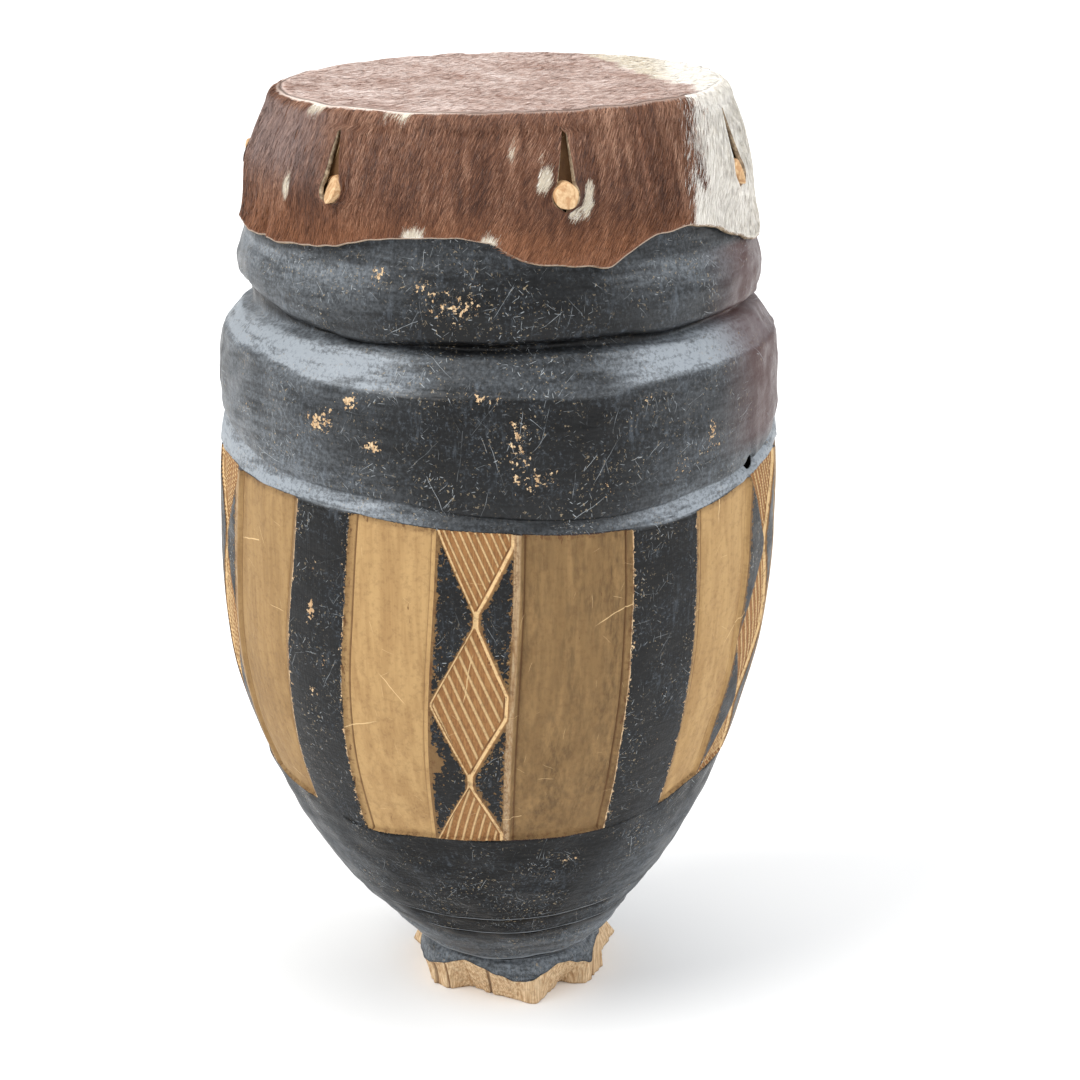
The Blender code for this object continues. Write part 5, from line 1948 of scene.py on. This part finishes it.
@dataclass(frozen=True)
class PegFinish:
    """Whittled pale wood with its end grain."""

    name: str = "whittled_peg_wood"
    pale: Colour = srgb(224, 190, 146)
    dark: Colour = srgb(188, 144, 100)

    def build(self) -> bpy.types.Material:
        """Make the material."""
        material, net, shader = new_material(self.name)
        place = net.place()
        fine = net.noise(place, 900.0, 4.0, 0.6)
        rings = net.noise(net.stretch(place, (1.0, 1.0, 0.5)), 260.0, 3.0, 0.5, 1.2)
        colour = net.mix(net.step(rings, 0.38, 0.64), self.dark, self.pale)
        colour = net.lay(colour, self.dark, net.step(fine, 0.45, 0.7), 0.4)
        net.dress(shader, colour, net.step(fine, 0.3, 0.7, 0.62, 0.8), None, net.bump(fine, 0.0003))
        return material


@dataclass
class WhittledPeg:
    """One peg: a many-sided prism, shaved by hand, with a slanted and rounded end."""

    name: str
    node: str
    slit: Slit
    seat: float
    radius: float = 0.0072
    sides: int = 28

    def build(self, material: bpy.types.Material) -> bpy.types.Object:
        """Build the peg.

        The radius changes softly round it as knife cuts do. Rows run along its axis from the
        wood to the tip, and the tip's plane is tilted.
        """
        rng = np.random.default_rng(int(self.slit.azimuth * 10) % 1000)
        angle = np.arange(self.sides) * 2 * math.pi / self.sides
        shave = 1 + 0.035 * np.cos(3 * angle + rng.uniform(0, 6))
        shave = shave + 0.025 * np.cos(5 * angle + rng.uniform(0, 6))
        start, end = self.seat - 0.0098, self.seat + self.slit.proud
        along = np.array([start, self.seat, end - 0.0012, end - 0.0003, end, end])
        scale = np.array([1.0, 0.99, 0.94, 0.92, 0.86, 0.45])
        across = np.cos(angle) * self.radius * shave * scale[:, None]
        up = np.sin(angle) * self.radius * shave * scale[:, None]
        reach = along[:, None] + np.where(
            np.arange(6)[:, None] >= 2, self.slit.peg_tilt[0] * across + self.slit.peg_tilt[1] * up, 0.0)
        turn = math.radians(self.slit.azimuth)
        outward = np.array([math.sin(turn), -math.cos(turn), 0.0])
        sideways = np.array([math.cos(turn), math.sin(turn), 0.0])
        points = reach[..., None] * outward + across[..., None] * sideways
        points[..., 2] = self.slit.height + up
        ids = np.arange(6 * self.sides).reshape(6, self.sides)
        quads = np.concatenate([row_quads(first, second) for first, second in zip(ids, ids[1:])])
        ends = np.array([points[0].mean(axis=0), points[-1].mean(axis=0)])
        last = 6 * self.sides
        caps = np.concatenate([
            np.stack([np.roll(ids[0], -1), ids[0], np.full(self.sides, last)], axis=1),
            np.stack([ids[-1], np.roll(ids[-1], -1), np.full(self.sides, last + 1)], axis=1)])
        item = make_mesh(self.name, np.concatenate([points.reshape(-1, 3), ends]), quads, caps)
        item.data.set_sharp_from_angle(angle=math.radians(40))
        item.data.materials.append(material)
        return ride(item, "peg_wood", self.node)


@dataclass(frozen=True)
class FloorFinish:
    """Pale matt studio paper."""

    name: str = "pale_paper"
    colour: Colour = srgb(246, 246, 246)

    def build(self) -> bpy.types.Material:
        """Make the material."""
        material, net, shader = new_material(self.name)
        net.dress(shader, self.colour, 0.9, 0.1)
        return material


@dataclass(frozen=True)
class SoftLight:
    """One wide soft light that shines at the drum from far off."""

    name: str
    azimuth: float
    rise: float
    spread: float
    strength: float
    colour: tuple[float, float, float]

    def build(self) -> bpy.types.Object:
        """Hang the light at its azimuth and rise, both in degrees."""
        lamp = bpy.data.lights.new(self.name, "SUN")
        lamp.angle = math.radians(self.spread)
        lamp.energy = self.strength
        lamp.color = self.colour
        item = bpy.data.objects.new(self.name, lamp)
        bpy.context.collection.objects.link(item)
        item.rotation_euler = (math.radians(90.0 - self.rise), 0.0, math.radians(self.azimuth))
        return item


@dataclass(frozen=True)
class Studio:
    """Pale floor, white surroundings, soft lamps and the photograph's camera."""

    distance: float = 1.562
    eye_height: float = 0.7626
    tilt_down: float = 17.22
    focal_pixels: float = 2734.0
    frame_pixels: float = 1080.0
    shift_pixels: float = 41.0
    lamps: tuple[SoftLight, ...] = (
        SoftLight("key_light", -62.0, 46.0, 40.0, 2.3, (1.0, 0.99, 0.97)),
        SoftLight("side_light", 72.0, 42.0, 50.0, 1.3, (0.96, 0.98, 1.0)),
        SoftLight("top_light", 180.0, 80.0, 50.0, 0.9, (0.98, 0.99, 1.0)))

    def build(self) -> None:
        """Set up everything round the drum."""
        world = bpy.data.worlds.new("white_room")
        world.use_nodes = True
        back = world.node_tree.nodes["Background"]
        back.inputs["Color"].default_value = (0.99, 0.995, 1.0, 1.0)
        back.inputs["Strength"].default_value = 0.60
        scene = bpy.context.scene
        scene.world = world
        scene.view_settings.view_transform = "Standard"
        for lamp in self.lamps:
            lamp.build()
        self.floor()
        self.camera()

    def floor(self) -> None:
        """Lay a wide floor under the drum."""
        half = 14.0
        points = np.array([[-half, -half, 0], [half, -half, 0], [half, half, 0], [-half, half, 0]])
        points[:, 2] = -0.0004
        item = make_mesh("studio_floor", points, np.array([[0, 1, 2, 3]]), np.zeros((0, 3), int))
        item.data.materials.append(FloorFinish().build())

    def camera(self) -> None:
        """Place the camera as the photograph was taken."""
        lens = bpy.data.cameras.new("photo_camera")
        lens.sensor_width = 36.0
        lens.lens = self.focal_pixels / self.frame_pixels * lens.sensor_width
        lens.shift_x = self.shift_pixels / self.frame_pixels
        item = bpy.data.objects.new("photo_camera", lens)
        bpy.context.collection.objects.link(item)
        item.location = (0.0, -self.distance, self.eye_height)
        item.rotation_euler = (math.radians(90.0 - self.tilt_down), 0.0, 0.0)
        bpy.context.scene.camera = item


PEG_SLITS = (
    Slit(-98.0, 0.50896, 1.0, proud=0.0045, peg_tilt=(0.1, 0.2)),
    Slit(-37.6, 0.50975, -2.5, 0.0380, 0.0062, peg_tilt=(0.70, -0.60)),
    Slit(13.8, 0.51094, 1.5, 0.0400, peg_tilt=(0.05, -0.08)),
    Slit(65.0, 0.51055, 2.5, 0.0360, 0.0062, peg_tilt=(-0.60, -0.35)),
    Slit(118.5, 0.50816, -1.0, peg_tilt=(0.2, 0.1)),
    Slit(168.0, 0.50975, 1.5, peg_tilt=(-0.1, 0.3)),
    Slit(-146.0, 0.51055, -1.5, peg_tilt=(0.15, -0.2)),
)


def main() -> None:
    """Build the drum's pieces in order and set up the studio."""
    logging.basicConfig(level=logging.INFO, format="%(name)s: %(message)s")
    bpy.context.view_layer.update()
    body = DrumBody(height=float(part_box("shell")[1][2]))
    body.build(CarvedWoodFinish().build())
    hide = HideHead(body, PEG_SLITS)
    skin = HideFinish()
    hide.build(skin.build(), CutHideFinish().build())
    coat = HairCoat(hide, skin)
    hair = HairFinish().build()
    for index in range(3):
        start = -180.0 + 120.0 * index
        coat.side(f"drum_hair_side_{index + 1}", start, start + 120.0, 34000, hair)
    coat.head("drum_hair_head", 46000, hair)
    peg_wood = PegFinish().build()
    for index, slit in enumerate(PEG_SLITS, start=1):
        seat = float(body.shoulder(slit.height))
        WhittledPeg(f"whittled_peg_{index}", f"peg_{index}", slit, seat).build(peg_wood)
    Studio().build()


if __name__ == "__main__":
    main()
